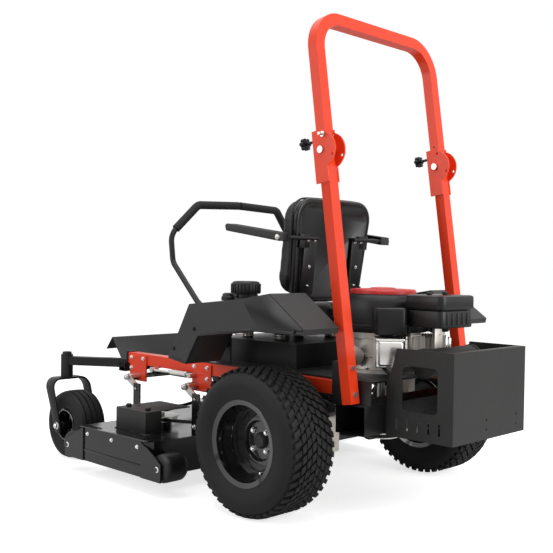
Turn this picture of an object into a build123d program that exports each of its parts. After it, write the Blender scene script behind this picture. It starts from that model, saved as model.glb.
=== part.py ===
from build123d import *
import math
import os

# Zero turn riding mower.  Millimetres, +Z up, the mower faces -Y and +X is the driver's left.
# The origin is on the ground, on the centreline, midway between the front and rear extremes.

# ---- Running gear ----
WHEELBASE = 1340.0
REAR_AXLE_Y = 420.0
REAR_TYRE_R = 288.0
REAR_TYRE_WIDTH = 260.0
REAR_TYRE_OUTER_X = 692.0
REAR_RIM_R = 152.0
REAR_FLANGE_R = 168.0
REAR_RIM_WIDTH = 216.0
TYRE_WALL = 12.0
LUG_CIRCLE_R = 50.8
LUG_COUNT = 4
CASTER_TYRE_R = 165.0
CASTER_TYRE_WIDTH = 156.0
CASTER_RIM_R = 76.0
CASTER_X = 539.0
CASTER_TRAIL = 92.0
CASTER_STEM_R = 15.0
CASTER_AXLE_R = 9.5
FORK_HALF_WIDTH = 105.0
RUNNING_GAP = 0.05
SIDE_GAP = 0.4

# ---- Frame ----
RAIL_X = 355.0
RAIL_WIDTH = 50.0
RAIL_HEIGHT = 53.0
RAIL_BOTTOM = 473.0
TUBE_WALL = 4.0
BEAM_TO_CASTER_PIVOT = 275.0
BEAM_DEPTH = 50.0
BEAM_HEIGHT = 44.0
CASTER_ARM_WIDTH = 44.0
PIVOT_TUBE_R = 30.0
PIVOT_TUBE_BOTTOM = 390.0
PIVOT_TUBE_TOP = 501.0
REAR_PLATE_Y = 640.0
CROSSBEAM_TOP = 443.0
CROSSBEAM_BOTTOM = 330.0
CROSSBEAM_REAR_Y = 783.0

# ---- Roll bar ----
ROPS_X = 384.0
ROPS_WIDTH = 50.0
ROPS_DEPTH = 45.0
ROPS_WALL = 3.2
ROPS_LEAN = 8.5
ROPS_PIVOT_Y = 570.0
ROPS_PIVOT_Z = 1418.0
ROPS_TOP_Z = 1981.0
ROPS_CORNER_R = 160.0
ROPS_FOLD = 100.0
HINGE_PLATE = 7.0
HINGE_LOBE_R = 71.0
HINGE_PIN_R = 8.0
LOCK_PIN_R = 6.0
LOCK_HOLE_R = 59.7
LOCK_HOLE_ANGLE = 72.8

# ---- Engine guard ----
GUARD_HALF_WIDTH = 254.5
GUARD_REAR_Y = 1085.0
GUARD_BOTTOM = 322.0
GUARD_TOP = 660.0
SHEET = 4.0
ACCESSORY_HOLE_R = 4.5
ACCESSORY_SPACING_X = 219.0
ACCESSORY_SPACING_Z = 36.0
ACCESSORY_X = -81.5
ACCESSORY_Z = 377.0
WINDOW_FROM_BEAM = 153.0
WINDOW_Z = 512.0
WINDOW_LENGTH = 160.0
WINDOW_HEIGHT = 172.0
WINDOW_CORNER_R = 22.0
SLOT_COUNT = 5
SLOT_PITCH = 48.0
SLOT_Z = 374.0
GUARD_LIP = 30.0

# ---- Engine ----
ENGINE_Y = 561.0
ENGINE_PLATE = 8.0
CRANKCASE_R = 165.0
CRANKCASE_TOP = 700.0
BLOWER_R = 192.0
BLOWER_TOP = 855.0
SCREEN_R = 139.0
SCREEN_TOP = 882.0
CYLINDER_SIZE = 118.0
CYLINDER_REACH = 285.0
CRANK_R = 15.0
PULLEY_R = 70.0
BELT_Z = 266.0
BELT_WIDTH = 14.0
BELT_THICKNESS = 7.0
CLUTCH_R = 62.0
MUFFLER_R = 58.0
MUFFLER_HALF_LENGTH = 170.0
MUFFLER_FROM_BEAM = 107.0
MUFFLER_Z = 600.0
TAILPIPE_R = 16.0
TAILPIPE_X = 110.0
FILTER_R = 38.0
FILTER_LENGTH = 80.0
FILTER_Z = 612.0
FUEL_LINE_R = 5.0

# ---- Deck ----
DECK_HALF_WIDTH = 736.0
DECK_TOP = 222.0
DECK_BOTTOM = 72.0
DECK_SHEET = 5.0
BLADE_LENGTH = 490.0
SPINDLE_X = 462.0
OUTER_SPINDLE_FROM_CASTER = 585.0
CENTRE_SPINDLE_STAGGER = 182.0
BLADE_Z = 104.0
BLADE_SPACE = 10.0
SPINDLE_R = 12.5
ROLLER_R = 60.0
ROLLER_LENGTH = 112.0
ROLLER_Z = 125.0
ROLLER_AXLE_R = 8.0
ROLLER_BRACKET = 6.0
DECK_TRAVEL = 90.0
LIFT_ARM = 90.0
LIFT_SHAFT_R = 12.0
LIFT_SHAFT_Z = 418.0
CHUTE_REACH = 250.0
CHUTE_LENGTH = 300.0

# ---- Platform, seat and bodywork ----
FLOOR_Z = 476.0
PAN_HALF_WIDTH = 322.0
PLATFORM_FRONT_Y = -190.0
PLATFORM_TOP = 636.0
SEAT_WIDTH = 520.0
SEAT_TOP = 800.0
SEAT_BACK_TOP = 1263.0
SEAT_PLATE_Z = 668.0
SEAT_SPRING_R = 24.0
SEAT_SPRING_X = 170.0
SEAT_UPRIGHT_TOP = 1095.0
ARMREST_X = 340.0
ARMREST_WIDTH = 60.0
ARMREST_LENGTH = 325.0
ARMREST_PIVOT_Z = 1085.0
ARMREST_ROD_R = 9.0
POD_INNER_X = 425.0
POD_OUTER_X = 620.0
POD_WALL = 4.0
FUEL_CAP_R = 62.0
LEVER_X = 375.0
LEVER_PIVOT_Y = -40.0
LEVER_PIVOT_Z = 620.0
LEVER_PIVOT_R = 12.0
SWING_PIN_R = 8.0
LAP_BAR_R = 12.7
GRIP_R = 20.0
GRIP_GAP = 10.0

# ---- Places worked out from the sizes above ----
caster_y = REAR_AXLE_Y - WHEELBASE
caster_pivot_y = caster_y - CASTER_TRAIL
beam_y = caster_pivot_y + BEAM_TO_CASTER_PIVOT
rail_front_y = beam_y + BEAM_DEPTH / 2
rail_top = RAIL_BOTTOM + RAIL_HEIGHT
rail_outer = RAIL_X + RAIL_WIDTH / 2
outer_spindle_y = caster_y + OUTER_SPINDLE_FROM_CASTER
centre_spindle_y = outer_spindle_y - CENTRE_SPINDLE_STAGGER
blade_r = BLADE_LENGTH / 2
front_shaft_y = outer_spindle_y - 285.0
rear_shaft_y = outer_spindle_y + 146.0
engine_plate_top = rail_top + ENGINE_PLATE
rear_tyre_x = REAR_TYRE_OUTER_X - REAR_TYRE_WIDTH / 2
pulley_top = BELT_Z + BELT_WIDTH / 2 + 4.0
pulley_bottom = BELT_Z - BELT_WIDTH / 2 - 4.0


# ---- Shared shapes ----
def block(x0, x1, y0, y1, z0, z1):
    return Pos((x0 + x1) / 2, (y0 + y1) / 2, (z0 + z1) / 2) * Box(x1 - x0, y1 - y0, z1 - z0)


def rod_x(radius, x0, x1, y, z):
    return Pos((x0 + x1) / 2, y, z) * Rot(0, 90, 0) * Cylinder(radius, x1 - x0)


def rod_y(radius, x, y0, y1, z):
    return Pos(x, (y0 + y1) / 2, z) * Rot(90, 0, 0) * Cylinder(radius, y1 - y0)


def rod_z(radius, x, y, z0, z1):
    return Pos(x, y, (z0 + z1) / 2) * Cylinder(radius, z1 - z0)


def plate_yz(points, x0, x1):
    """A flat plate whose outline is drawn from the side, between two X values."""
    return extrude(Plane.YZ.offset(x0) * make_face(Polyline(*points, close=True)), amount=x1 - x0)


def plate_xy(points, z0, z1):
    """A flat plate whose outline is drawn from above, between two heights."""
    return extrude(Plane.XY.offset(z0) * make_face(Polyline(*points, close=True)), amount=z1 - z0)


def strip_yz(start, end, thickness, x0, x1):
    """Sheet between two side-view points, laid to the right of the way from start to end."""
    length = math.dist(start, end)
    ny = (end[1] - start[1]) / length * thickness
    nz = -(end[0] - start[0]) / length * thickness
    inner = [(end[0] + ny, end[1] + nz), (start[0] + ny, start[1] + nz)]
    return plate_yz([start, end] + inner, x0, x1)


def hex_head(across_flats, height, place):
    """A hexagon standing on the place's plane."""
    return extrude(place * RegularPolygon(across_flats / 2, 6, major_radius=False), amount=height)


def other_side(shape):
    return mirror(shape, about=Plane.YZ)


def both_sides(shape):
    return [shape, other_side(shape)]


def round_bar(points, radii, radius):
    path = FilletPolyline(*points, radius=radii)
    return sweep(Plane(origin=path @ 0, z_dir=path % 0) * Circle(radius), path=path)


# ---- Frame ----
def lift_bracket(y0, y1, shaft_y):
    outer = rail_outer + 8.0
    plate = block(rail_outer, outer, y0, y1, LIFT_SHAFT_Z - 23.0, rail_top - 8.0)
    return plate - rod_x(LIFT_SHAFT_R + RUNNING_GAP, rail_outer - 1, outer + 1, shaft_y, LIFT_SHAFT_Z)


def frame_rails():
    inner = RAIL_WIDTH / 2 - TUBE_WALL
    rail = block(RAIL_X - RAIL_WIDTH / 2, rail_outer, rail_front_y, REAR_PLATE_Y, RAIL_BOTTOM, rail_top)
    bore = (RAIL_BOTTOM + TUBE_WALL, rail_top - TUBE_WALL)
    rail -= block(RAIL_X - inner, RAIL_X + inner, rail_front_y - 1, REAR_PLATE_Y + 1, *bore)
    rail += lift_bracket(front_shaft_y - 68.0, front_shaft_y + 60.0, front_shaft_y)
    rail += lift_bracket(rear_shaft_y - 26.0, rear_shaft_y + 102.0, rear_shaft_y)
    return both_sides(rail)


def front_beam():
    top = RAIL_BOTTOM + 3.0
    bottom = top - BEAM_HEIGHT
    half = rail_outer + 20.0
    front = beam_y - BEAM_DEPTH / 2
    beam = block(-half, half, front, rail_front_y, bottom, top)
    inside = (bottom + TUBE_WALL, top - TUBE_WALL)
    beam -= block(-half - 1, half + 1, front + TUBE_WALL, rail_front_y - TUBE_WALL, *inside)
    reach = math.hypot(CASTER_X - RAIL_X, caster_pivot_y - beam_y)
    angle = math.degrees(math.atan2(caster_pivot_y - beam_y, CASTER_X - RAIL_X))
    for side in (1, -1):
        turn = angle if side > 0 else 180 - angle
        arm = Pos(side * RAIL_X, beam_y, 469.0) * Rot(0, 0, turn) * Pos(reach / 2, 0, 0)
        beam += arm * Box(reach, CASTER_ARM_WIDTH, 42.0)
        plate = (rail_front_y - 10.0, rail_front_y, bottom, rail_top + 4.0)
        x0, x1 = sorted((side * (rail_outer + 5.0), side * (rail_outer - RAIL_WIDTH - 5.0)))
        beam += block(x0, x1, *plate)
        beam += rod_z(PIVOT_TUBE_R, side * CASTER_X, caster_pivot_y, PIVOT_TUBE_BOTTOM, PIVOT_TUBE_TOP)
    for side in (1, -1):
        stem = CASTER_STEM_R + RUNNING_GAP
        beam -= rod_z(stem, side * CASTER_X, caster_pivot_y, PIVOT_TUBE_BOTTOM - 1, PIVOT_TUBE_TOP + 1)
    return [beam]


# The posts lean forward, so they and all that joins them are drawn in a tilted frame
# at the fold pivot: x across the mower, y towards the rear, z up along the post.
rops_frame = Plane(
    origin=(0, ROPS_PIVOT_Y, ROPS_PIVOT_Z),
    x_dir=(1, 0, 0),
    z_dir=(0, -math.sin(math.radians(ROPS_LEAN)), math.cos(math.radians(ROPS_LEAN))),
)
lean_sin = math.sin(math.radians(ROPS_LEAN))
lean_cos = math.cos(math.radians(ROPS_LEAN))
post_bottom = (CROSSBEAM_TOP - ROPS_PIVOT_Z + ROPS_DEPTH / 2 * lean_sin) / lean_cos
post_top = -(ROPS_DEPTH / 2 + 5.5)
post_bolt_heights = (post_bottom + 35.0, post_bottom + 135.0)
post_in = ROPS_X - ROPS_WIDTH / 2
post_out = ROPS_X + ROPS_WIDTH / 2


def rops_world(y, z):
    """Side-view place of a point given in the posts' frame."""
    return (
        ROPS_PIVOT_Y + y * lean_cos - z * lean_sin,
        ROPS_PIVOT_Z + y * lean_sin + z * lean_cos,
    )


def lock_hole(angle):
    return LOCK_HOLE_R * math.cos(math.radians(angle)), LOCK_HOLE_R * math.sin(math.radians(angle))


def post_bolt_holes(side, radius):
    return [rops_frame * rod_y(radius, side * ROPS_X, -60.0, 25.0, z) for z in post_bolt_heights]


def rear_frame():
    rear = REAR_PLATE_Y + 10.0
    half = rail_outer + 4.0
    frame = block(-half, half, rear, CROSSBEAM_REAR_Y, CROSSBEAM_BOTTOM, CROSSBEAM_TOP)
    inside = (CROSSBEAM_BOTTOM + TUBE_WALL, CROSSBEAM_TOP - TUBE_WALL)
    frame -= block(-half - 1, half + 1, rear + TUBE_WALL, CROSSBEAM_REAR_Y - TUBE_WALL, *inside)
    plate_half = post_in - 9.0
    frame += block(-plate_half, plate_half, 330.0, CROSSBEAM_REAR_Y, rail_top, engine_plate_top)
    frame -= rod_z(60.0, 0, ENGINE_Y, rail_top - 1, engine_plate_top + 1)
    tower_top = post_bolt_heights[1] + 30.0
    low = rops_world(-ROPS_DEPTH / 2, post_bottom)
    high = rops_world(-ROPS_DEPTH / 2, tower_top)
    tower = plate_yz([(rear, CROSSBEAM_TOP), low, high, (rear, high[1])], post_in, post_out)
    end_plate = block(RAIL_X - 30.0, half, REAR_PLATE_Y, rear, CROSSBEAM_BOTTOM, high[1])
    outer_plate = block(half, post_out, REAR_PLATE_Y, rear, CROSSBEAM_TOP, high[1])
    shelf_web = block(-plate_half, -plate_half + 6.0, rear, CROSSBEAM_REAR_Y, CROSSBEAM_TOP, rail_top)
    for piece in (tower, end_plate, outer_plate, shelf_web):
        frame = frame + piece
        frame = frame + other_side(piece)
    for side in (1, -1):
        for hole in post_bolt_holes(side, 6.3):
            frame -= hole
    return [frame]


def hinge_plate(x0, x1):
    disc = rod_x(HINGE_LOBE_R, x0, x1, 0, 0)
    plate = disc + block(x0, x1, -40.0, 25.0, post_top - 100.0, 78.0)
    plate -= block(x0 - 1, x1 + 1, -HINGE_LOBE_R - 1, -40.0, -HINGE_LOBE_R, HINGE_LOBE_R)
    plate -= rod_x(HINGE_PIN_R, x0 - 1, x1 + 1, 0, 0)
    for angle in (LOCK_HOLE_ANGLE, LOCK_HOLE_ANGLE - ROPS_FOLD):
        y, z = lock_hole(angle)
        plate -= rod_x(LOCK_PIN_R + RUNNING_GAP, x0 - 1, x1 + 1, y, z)
    return plate


def rops_post():
    wall = ROPS_WALL
    half = ROPS_DEPTH / 2
    bore = half - wall
    post = block(post_in, post_out, -half, half, post_bottom, post_top)
    post -= block(post_in + wall, post_out - wall, -bore, bore, post_bottom - 1, post_top + 1)
    post += hinge_plate(post_in - HINGE_PLATE, post_in)
    post += hinge_plate(post_out, post_out + HINGE_PLATE)
    post += block(post_in, post_out, -40.0, -26.0, 34.0, 60.0)
    return post


def rops_knob():
    """Anti-rattle knob on a screw through the bridge in front of the hinge."""
    knob = rod_y(6.0, ROPS_X, -95.0, -40.0, 47.0)
    knob += rod_y(17.0, ROPS_X, -118.0, -95.0, 47.0)
    for lobe in range(6):
        angle = math.radians(60 * lobe)
        knob += rod_y(8.0, ROPS_X + 17 * math.cos(angle), -116.0, -97.0, 47 + 17 * math.sin(angle))
    return knob


def rops_posts():
    post = rops_frame * rops_post()
    for hole in post_bolt_holes(1, 6.3):
        post -= hole
    knob = rops_frame * rops_knob()
    return both_sides(post) + both_sides(knob)


def rops_hoop():
    height = (ROPS_TOP_Z - ROPS_PIVOT_Z) / lean_cos
    width = ROPS_WIDTH - 2 * SIDE_GAP
    outer_half = ROPS_X + width / 2

    def arch(half, top, corner, bottom):
        outline = Pos(0, (top + bottom) / 2) * Rectangle(2 * half, top - bottom)
        corners = outline.vertices().group_by(Axis.Y)[-1]
        return fillet(corners, corner)

    def slab(sketch, depth):
        upright = Plane(origin=(0, depth / 2, 0), x_dir=(1, 0, 0), z_dir=(0, -1, 0))
        return extrude(upright * sketch, amount=depth)

    wall = ROPS_WALL
    tube = slab(arch(outer_half, height, ROPS_CORNER_R, 0), ROPS_DEPTH)
    tube -= slab(arch(outer_half - width, height - width, ROPS_CORNER_R - width, -1), ROPS_DEPTH + 2)
    bore = ROPS_DEPTH - 2 * wall
    hollow = slab(arch(outer_half - wall, height - wall, ROPS_CORNER_R - wall, 60), bore)
    core = width - wall
    hollow -= slab(arch(outer_half - core, height - core, ROPS_CORNER_R - core, 50), ROPS_DEPTH)
    tube -= hollow
    for side in (1, -1):
        x0, x1 = sorted((side * (outer_half - width), side * outer_half))
        tube += rod_x(ROPS_DEPTH / 2, x0, x1, 0, 0)
    for side in (1, -1):
        x0, x1 = sorted((side * (outer_half - width - 1), side * (outer_half + 1)))
        tube -= rod_x(HINGE_PIN_R + RUNNING_GAP, x0, x1, 0, 0)
        inner_face = side * (outer_half - width)
        tube -= rod_x(4.0, inner_face - 5, inner_face + 5, 0, 90.0)
    return [rops_frame * tube]


def rops_pin():
    y, z = lock_hole(LOCK_HOLE_ANGLE)
    outer = post_out + HINGE_PLATE
    pin = rod_x(LOCK_PIN_R, post_out + SIDE_GAP, outer + 26.0, y, z)
    pin += rod_x(11.0, outer + 1.0, outer + 6.0, y, z)
    return rops_frame * pin


def frame_bolts():
    bolts = []
    for z in post_bolt_heights:
        rear = rops_frame * Plane(origin=(ROPS_X, ROPS_DEPTH / 2, z), z_dir=(0, 1, 0))
        bolt = hex_head(19.0, 8.0, rear)
        bolt += rops_frame * rod_y(6.0, ROPS_X, -50.0, ROPS_DEPTH / 2, z)
        bolts += both_sides(bolt)
    outer = post_out + HINGE_PLATE
    inner = post_in - HINGE_PLATE
    pivot = rod_x(HINGE_PIN_R, inner - 12.0, outer + 8.0, 0, 0)
    pivot += rod_x(14.0, outer, outer + 8.0, 0, 0)
    pivot += rod_x(14.0, inner - 12.0, inner, 0, 0)
    bolts += both_sides(rops_frame * pivot)
    for z in (CROSSBEAM_BOTTOM + 25.0, CROSSBEAM_TOP - 25.0):
        place = (GUARD_HALF_WIDTH - 28.0, CROSSBEAM_REAR_Y + SHEET, z)
        bolts += both_sides(hex_head(17.0, 7.0, Plane(origin=place, z_dir=(0, 1, 0))))
    return bolts


# ---- Engine guard ----
def guard_side():
    front = CROSSBEAM_REAR_Y
    rear = GUARD_REAR_Y
    outline = [
        (front, GUARD_BOTTOM),
        (rear, GUARD_BOTTOM),
        (rear, GUARD_TOP),
        (front + 45.0, GUARD_TOP),
        (front + 20.0, 560.0),
        (front, 530.0),
    ]
    side = plate_yz(outline, GUARD_HALF_WIDTH - SHEET, GUARD_HALF_WIDTH)
    cut_face = Plane.YZ.offset(GUARD_HALF_WIDTH - 2 * SHEET)
    window = RectangleRounded(WINDOW_LENGTH, WINDOW_HEIGHT, WINDOW_CORNER_R)
    side -= extrude(cut_face * Pos(front + WINDOW_FROM_BEAM, WINDOW_Z) * window, amount=3 * SHEET)
    for step in range(SLOT_COUNT):
        slot = cut_face * Pos(front + 50.0 + SLOT_PITCH * step, SLOT_Z)
        side -= extrude(slot * SlotOverall(46.0, 9.0, rotation=90), amount=3 * SHEET)
    tab_x = GUARD_HALF_WIDTH - 56.0
    side += block(tab_x, GUARD_HALF_WIDTH, front, front + SHEET, CROSSBEAM_BOTTOM, CROSSBEAM_TOP)
    return side


def engine_guard():
    guard = guard_side()
    guard = guard + other_side(guard)
    half = GUARD_HALF_WIDTH
    rear = (GUARD_REAR_Y - SHEET, GUARD_REAR_Y)
    lip = (GUARD_REAR_Y - GUARD_LIP, GUARD_REAR_Y)
    guard += block(-half, half, *rear, GUARD_BOTTOM, GUARD_TOP)
    guard += block(-half, half, *lip, GUARD_TOP - SHEET, GUARD_TOP)
    guard += block(-half, half, *lip, GUARD_BOTTOM, GUARD_BOTTOM + SHEET)
    for i in (-1, 1):
        for j in (-1, 1):
            x = ACCESSORY_X + i * ACCESSORY_SPACING_X / 2
            z = ACCESSORY_Z + j * ACCESSORY_SPACING_Z / 2
            guard -= rod_y(ACCESSORY_HOLE_R, x, rear[0] - 1, rear[1] + 1, z)
    return [guard]


# ---- Operator platform ----
def pedal_slot():
    return block(-262.0, -238.0, front_shaft_y - 92.0, front_shaft_y + 24.0, FLOOR_Z - 10, FLOOR_Z + 10)


def foot_pan():
    toe_start = (beam_y - 115.0, FLOOR_Z)
    toe_top = (toe_start[0] - 85.0, FLOOR_Z + 104.0)
    toe_front = (toe_top[0] - 48.0, toe_top[1] - 61.0)
    pan = block(-PAN_HALF_WIDTH, PAN_HALF_WIDTH, toe_start[0], PLATFORM_FRONT_Y, FLOOR_Z, FLOOR_Z + SHEET)
    pan += strip_yz(toe_start, toe_top, SHEET, -PAN_HALF_WIDTH, PAN_HALF_WIDTH)
    pan += strip_yz(toe_top, toe_front, -SHEET, -PAN_HALF_WIDTH, PAN_HALF_WIDTH)
    pan -= pedal_slot()
    return [pan]


def lever_bracket():
    y = LEVER_PIVOT_Y
    face = LEVER_X - 27.0
    plate = block(face - 8.0, face, y - 35, y + 35, rail_top + 6, LEVER_PIVOT_Z + 25)
    return plate + rod_x(LEVER_PIVOT_R, face, LEVER_X + 27.0, y, LEVER_PIVOT_Z)


seat_hinge_y = PLATFORM_FRONT_Y - 6.0
seat_hinge_z = SEAT_PLATE_Z - 16.0


def platform():
    deck_plate = block(-rail_outer, rail_outer, PLATFORM_FRONT_Y, 330.0, rail_top, rail_top + 6.0)
    front = PLATFORM_FRONT_Y
    deck_plate += block(-270.0, 270.0, front, 320.0, rail_top, PLATFORM_TOP)
    deck_plate -= block(-266.0, 266.0, front + 4, 316.0, rail_top - 1, PLATFORM_TOP - 4)
    deck_plate += block(-PAN_HALF_WIDTH, PAN_HALF_WIDTH, front, front + 4, FLOOR_Z, rail_top)
    lug = block(205.0, 211.0, seat_hinge_y - 10, front + 8, 600.0, seat_hinge_z + 10)
    lug += rod_x(6.0, 188.0, 211.0, seat_hinge_y, seat_hinge_z)
    for piece in (lever_bracket(), lug):
        deck_plate += piece
        deck_plate += other_side(piece)
    return [deck_plate]


def seat_rear_y(z):
    """The seat back's rear face leans back as it rises."""
    return 250.0 + (z - SEAT_TOP - 5.0) * 0.112


def seat_frame():
    front = PLATFORM_FRONT_Y
    base = SEAT_PLATE_Z
    frame = block(-230.0, 230.0, front, seat_rear_y(base), base, base + 6)
    frame += block(-215.0, 215.0, front + 20, 200.0, base + 6, base + 32)
    low = (seat_rear_y(base), base)
    high = (seat_rear_y(SEAT_UPRIGHT_TOP), SEAT_UPRIGHT_TOP)
    upright = strip_yz(low, high, 6.0, 120.0, 195.0)
    arm_y, arm_z = armrest_pivot()
    upright += rod_x(ARMREST_ROD_R, 120.0, ARMREST_X, arm_y, arm_z)
    hinge_lug = block(192.0, 200.0, seat_hinge_y - 9, front + 20, seat_hinge_z - 9, base + 6)
    hinge_lug -= rod_x(6.0 + RUNNING_GAP, 191.0, 201.0, seat_hinge_y, seat_hinge_z)
    hinge_lug -= block(191.0, 201.0, seat_hinge_y - 10, front, seat_hinge_z + 12, base + 7)
    for piece in (upright, hinge_lug):
        frame += piece
        frame += other_side(piece)
    springs = []
    for y in (-80.0, 120.0):
        springs += both_sides(rod_z(SEAT_SPRING_R, SEAT_SPRING_X, y, PLATFORM_TOP + SIDE_GAP, base))
    return [frame] + springs


def seat_cushion():
    half = SEAT_WIDTH / 2 - 15.0
    cushion = block(-half, half, PLATFORM_FRONT_Y - 45.0, 190.0, SEAT_PLATE_Z + 32.0, SEAT_TOP)
    return [fillet(cushion.edges().filter_by(Axis.Z), 40.0)]


def seat_back():
    base = SEAT_TOP + 5.0
    outline = [
        (seat_rear_y(base) - 110.0, base),
        (seat_rear_y(base), base),
        (seat_rear_y(SEAT_BACK_TOP), SEAT_BACK_TOP),
        (seat_rear_y(SEAT_BACK_TOP) - 85.0, SEAT_BACK_TOP),
    ]
    return [plate_yz(outline, -SEAT_WIDTH / 2, SEAT_WIDTH / 2)]


def armrest_pivot():
    return seat_rear_y(ARMREST_PIVOT_Z) + 13.0, ARMREST_PIVOT_Z


def armrest():
    pivot_y, pivot_z = armrest_pivot()
    inner = ARMREST_X - ARMREST_WIDTH / 2
    tip_y = pivot_y - ARMREST_LENGTH
    outline = [
        (pivot_y + 10, pivot_z - 18),
        (pivot_y + 10, pivot_z + 18),
        (tip_y + 8, pivot_z + 62),
        (tip_y, pivot_z + 54),
        (tip_y + 6, pivot_z + 30),
    ]
    arm = plate_yz(outline, inner, inner + ARMREST_WIDTH)
    arm -= rod_x(ARMREST_ROD_R + RUNNING_GAP, inner - 1, ARMREST_X + 1, pivot_y, pivot_z)
    return arm


# ---- Steering levers ----
swing_z = LEVER_PIVOT_Z + 35.0


def lever_base():
    x = LEVER_X
    y = LEVER_PIVOT_Y
    base = rod_x(20.0, x - 26.0, x + 26.0, y, LEVER_PIVOT_Z)
    base += block(x - 15, x + 15, y - 12, y + 12, LEVER_PIVOT_Z, swing_z + 17)
    base -= rod_x(LEVER_PIVOT_R + RUNNING_GAP, x - 30, x + 30, y, LEVER_PIVOT_Z)
    base -= rod_y(SWING_PIN_R + RUNNING_GAP, x, y - 13, y + 13, swing_z)
    return base


LAP_BAR_POINTS = (
    (LEVER_X + 7.0, LEVER_PIVOT_Y, swing_z + 35.0),
    (400.0, LEVER_PIVOT_Y - 134.0, LEVER_PIVOT_Z + 181.0),
    (400.0, LEVER_PIVOT_Y - 308.0, LEVER_PIVOT_Z + 353.0),
    (400.0, LEVER_PIVOT_Y - 326.0, LEVER_PIVOT_Z + 482.0),
    (262.0, LEVER_PIVOT_Y - 298.0, LEVER_PIVOT_Z + 623.0),
    (GRIP_GAP / 2, LEVER_PIVOT_Y - 298.0, LEVER_PIVOT_Z + 633.0),
)


LAP_BAR_BENDS = (60.0, 60.0, 90.0, 90.0)


def lap_bar_tube():
    bar = round_bar(LAP_BAR_POINTS, list(LAP_BAR_BENDS), LAP_BAR_R)
    y = LEVER_PIVOT_Y
    return bar - block(-1, GRIP_GAP / 2 + 6, y - 400, y, LEVER_PIVOT_Z, LEVER_PIVOT_Z + 800)


def lap_bar():
    bar = lap_bar_tube()
    x0 = LEVER_X - 15
    x1 = LEVER_X + 15
    for y in (LEVER_PIVOT_Y - 26.0, LEVER_PIVOT_Y + 14.0):
        bar += block(x0, x1, y, y + 12, swing_z - 12, swing_z + 45)
    bar += block(x0, x1, LEVER_PIVOT_Y - 26, LEVER_PIVOT_Y + 26, swing_z + 25, swing_z + 45)
    bar += rod_y(SWING_PIN_R, LEVER_X, LEVER_PIVOT_Y - 30, LEVER_PIVOT_Y + 30, swing_z)
    return bar


def grip():
    outer = round_bar(LAP_BAR_POINTS[3:], list(LAP_BAR_BENDS[3:]), GRIP_R)
    return outer - lap_bar_tube()


# ---- Fenders ----
POD_OUTLINE = (
    (-98.0, 566.0),
    (15.0, 551.0),
    (95.0, 673.0),
    (419.0, 715.0),
    (680.0, 715.0),
    (685.0, 737.0),
    (507.0, 862.0),
    (349.0, 835.0),
    (35.0, 802.0),
)
CAP_PLACE = (500.0, 249.0)
NECK_R = 45.0
NECK_TOP = 872.0


def pod():
    outline = make_face(Polyline(*POD_OUTLINE, close=True))
    shell = extrude(Plane.YZ.offset(POD_INNER_X) * outline, amount=POD_OUTER_X - POD_INNER_X)
    shell += block(300.0, POD_INNER_X, 60.0, 380.0, 700.0, 790.0)
    inside = extrude(
        Plane.YZ.offset(POD_INNER_X + POD_WALL) * offset(outline, -POD_WALL, kind=Kind.INTERSECTION),
        amount=POD_OUTER_X - POD_INNER_X - 2 * POD_WALL,
    )
    return shell - inside


def fender_left():
    x, y = CAP_PLACE
    body = pod() + rod_z(NECK_R, x, y, 815.0, NECK_TOP)
    return [body - rod_z(NECK_R - 6.0, x, y, 800.0, NECK_TOP + 1)]


def fender_right():
    body = other_side(pod())
    body -= rod_z(9.0, -500.0, 300.0, 690.0, 722.0)
    return [body]


def fuel_cap():
    x, y = CAP_PLACE
    cap = rod_z(FUEL_CAP_R, x, y, NECK_TOP - 22.0, NECK_TOP + 30.0)
    cap = fillet(cap.edges().group_by(Axis.Z)[-1], 8.0)
    return [cap - rod_z(NECK_R + 1.0, x, y, NECK_TOP - 23.0, NECK_TOP + SIDE_GAP)]


# Switches stand on the inner ledge of the right fender.
LEDGE_TOP = 790.0


def throttle_lever():
    lever = rod_x(9.0, -372.0, -356.0, 130.0, LEDGE_TOP + 9.5)
    lever += block(-367.0, -361.0, 127.0, 133.0, LEDGE_TOP + 9.5, LEDGE_TOP + 60.0)
    lever += Pos(-364.0, 130.0, LEDGE_TOP + 66.0) * Box(16.0, 14.0, 24.0)
    return [lever]


def ignition_key():
    key = rod_z(11.0, -364.0, 230.0, LEDGE_TOP + SIDE_GAP, LEDGE_TOP + 9.0)
    key += block(-366.0, -362.0, 216.0, 244.0, LEDGE_TOP + 9.0, LEDGE_TOP + 34.0)
    return [key]


def pto_knob():
    knob = rod_z(6.0, -364.0, 310.0, LEDGE_TOP + SIDE_GAP, LEDGE_TOP + 20.0)
    knob += rod_z(17.0, -364.0, 310.0, LEDGE_TOP + 20.0, LEDGE_TOP + 36.0)
    return [knob]


# ---- Drive ----
def transaxle():
    z = REAR_TYRE_R
    y = REAR_AXLE_Y
    body = block(215.0, 330.0, y - 95, y + 95, z - 75, z + 70)
    body += rod_z(48.0, 268.0, y - 30, z + 70, z + 130)
    body += rod_x(60.0, 330.0, 400.0, y, z)
    body += rod_x(35.0, 400.0, 500.0, y, z)
    body += block(330.0, 380.0, y - 40, y + 40, z + 30, RAIL_BOTTOM)
    body -= rod_x(17.5 + RUNNING_GAP, 430.0, 501.0, y, z)
    return body


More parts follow.
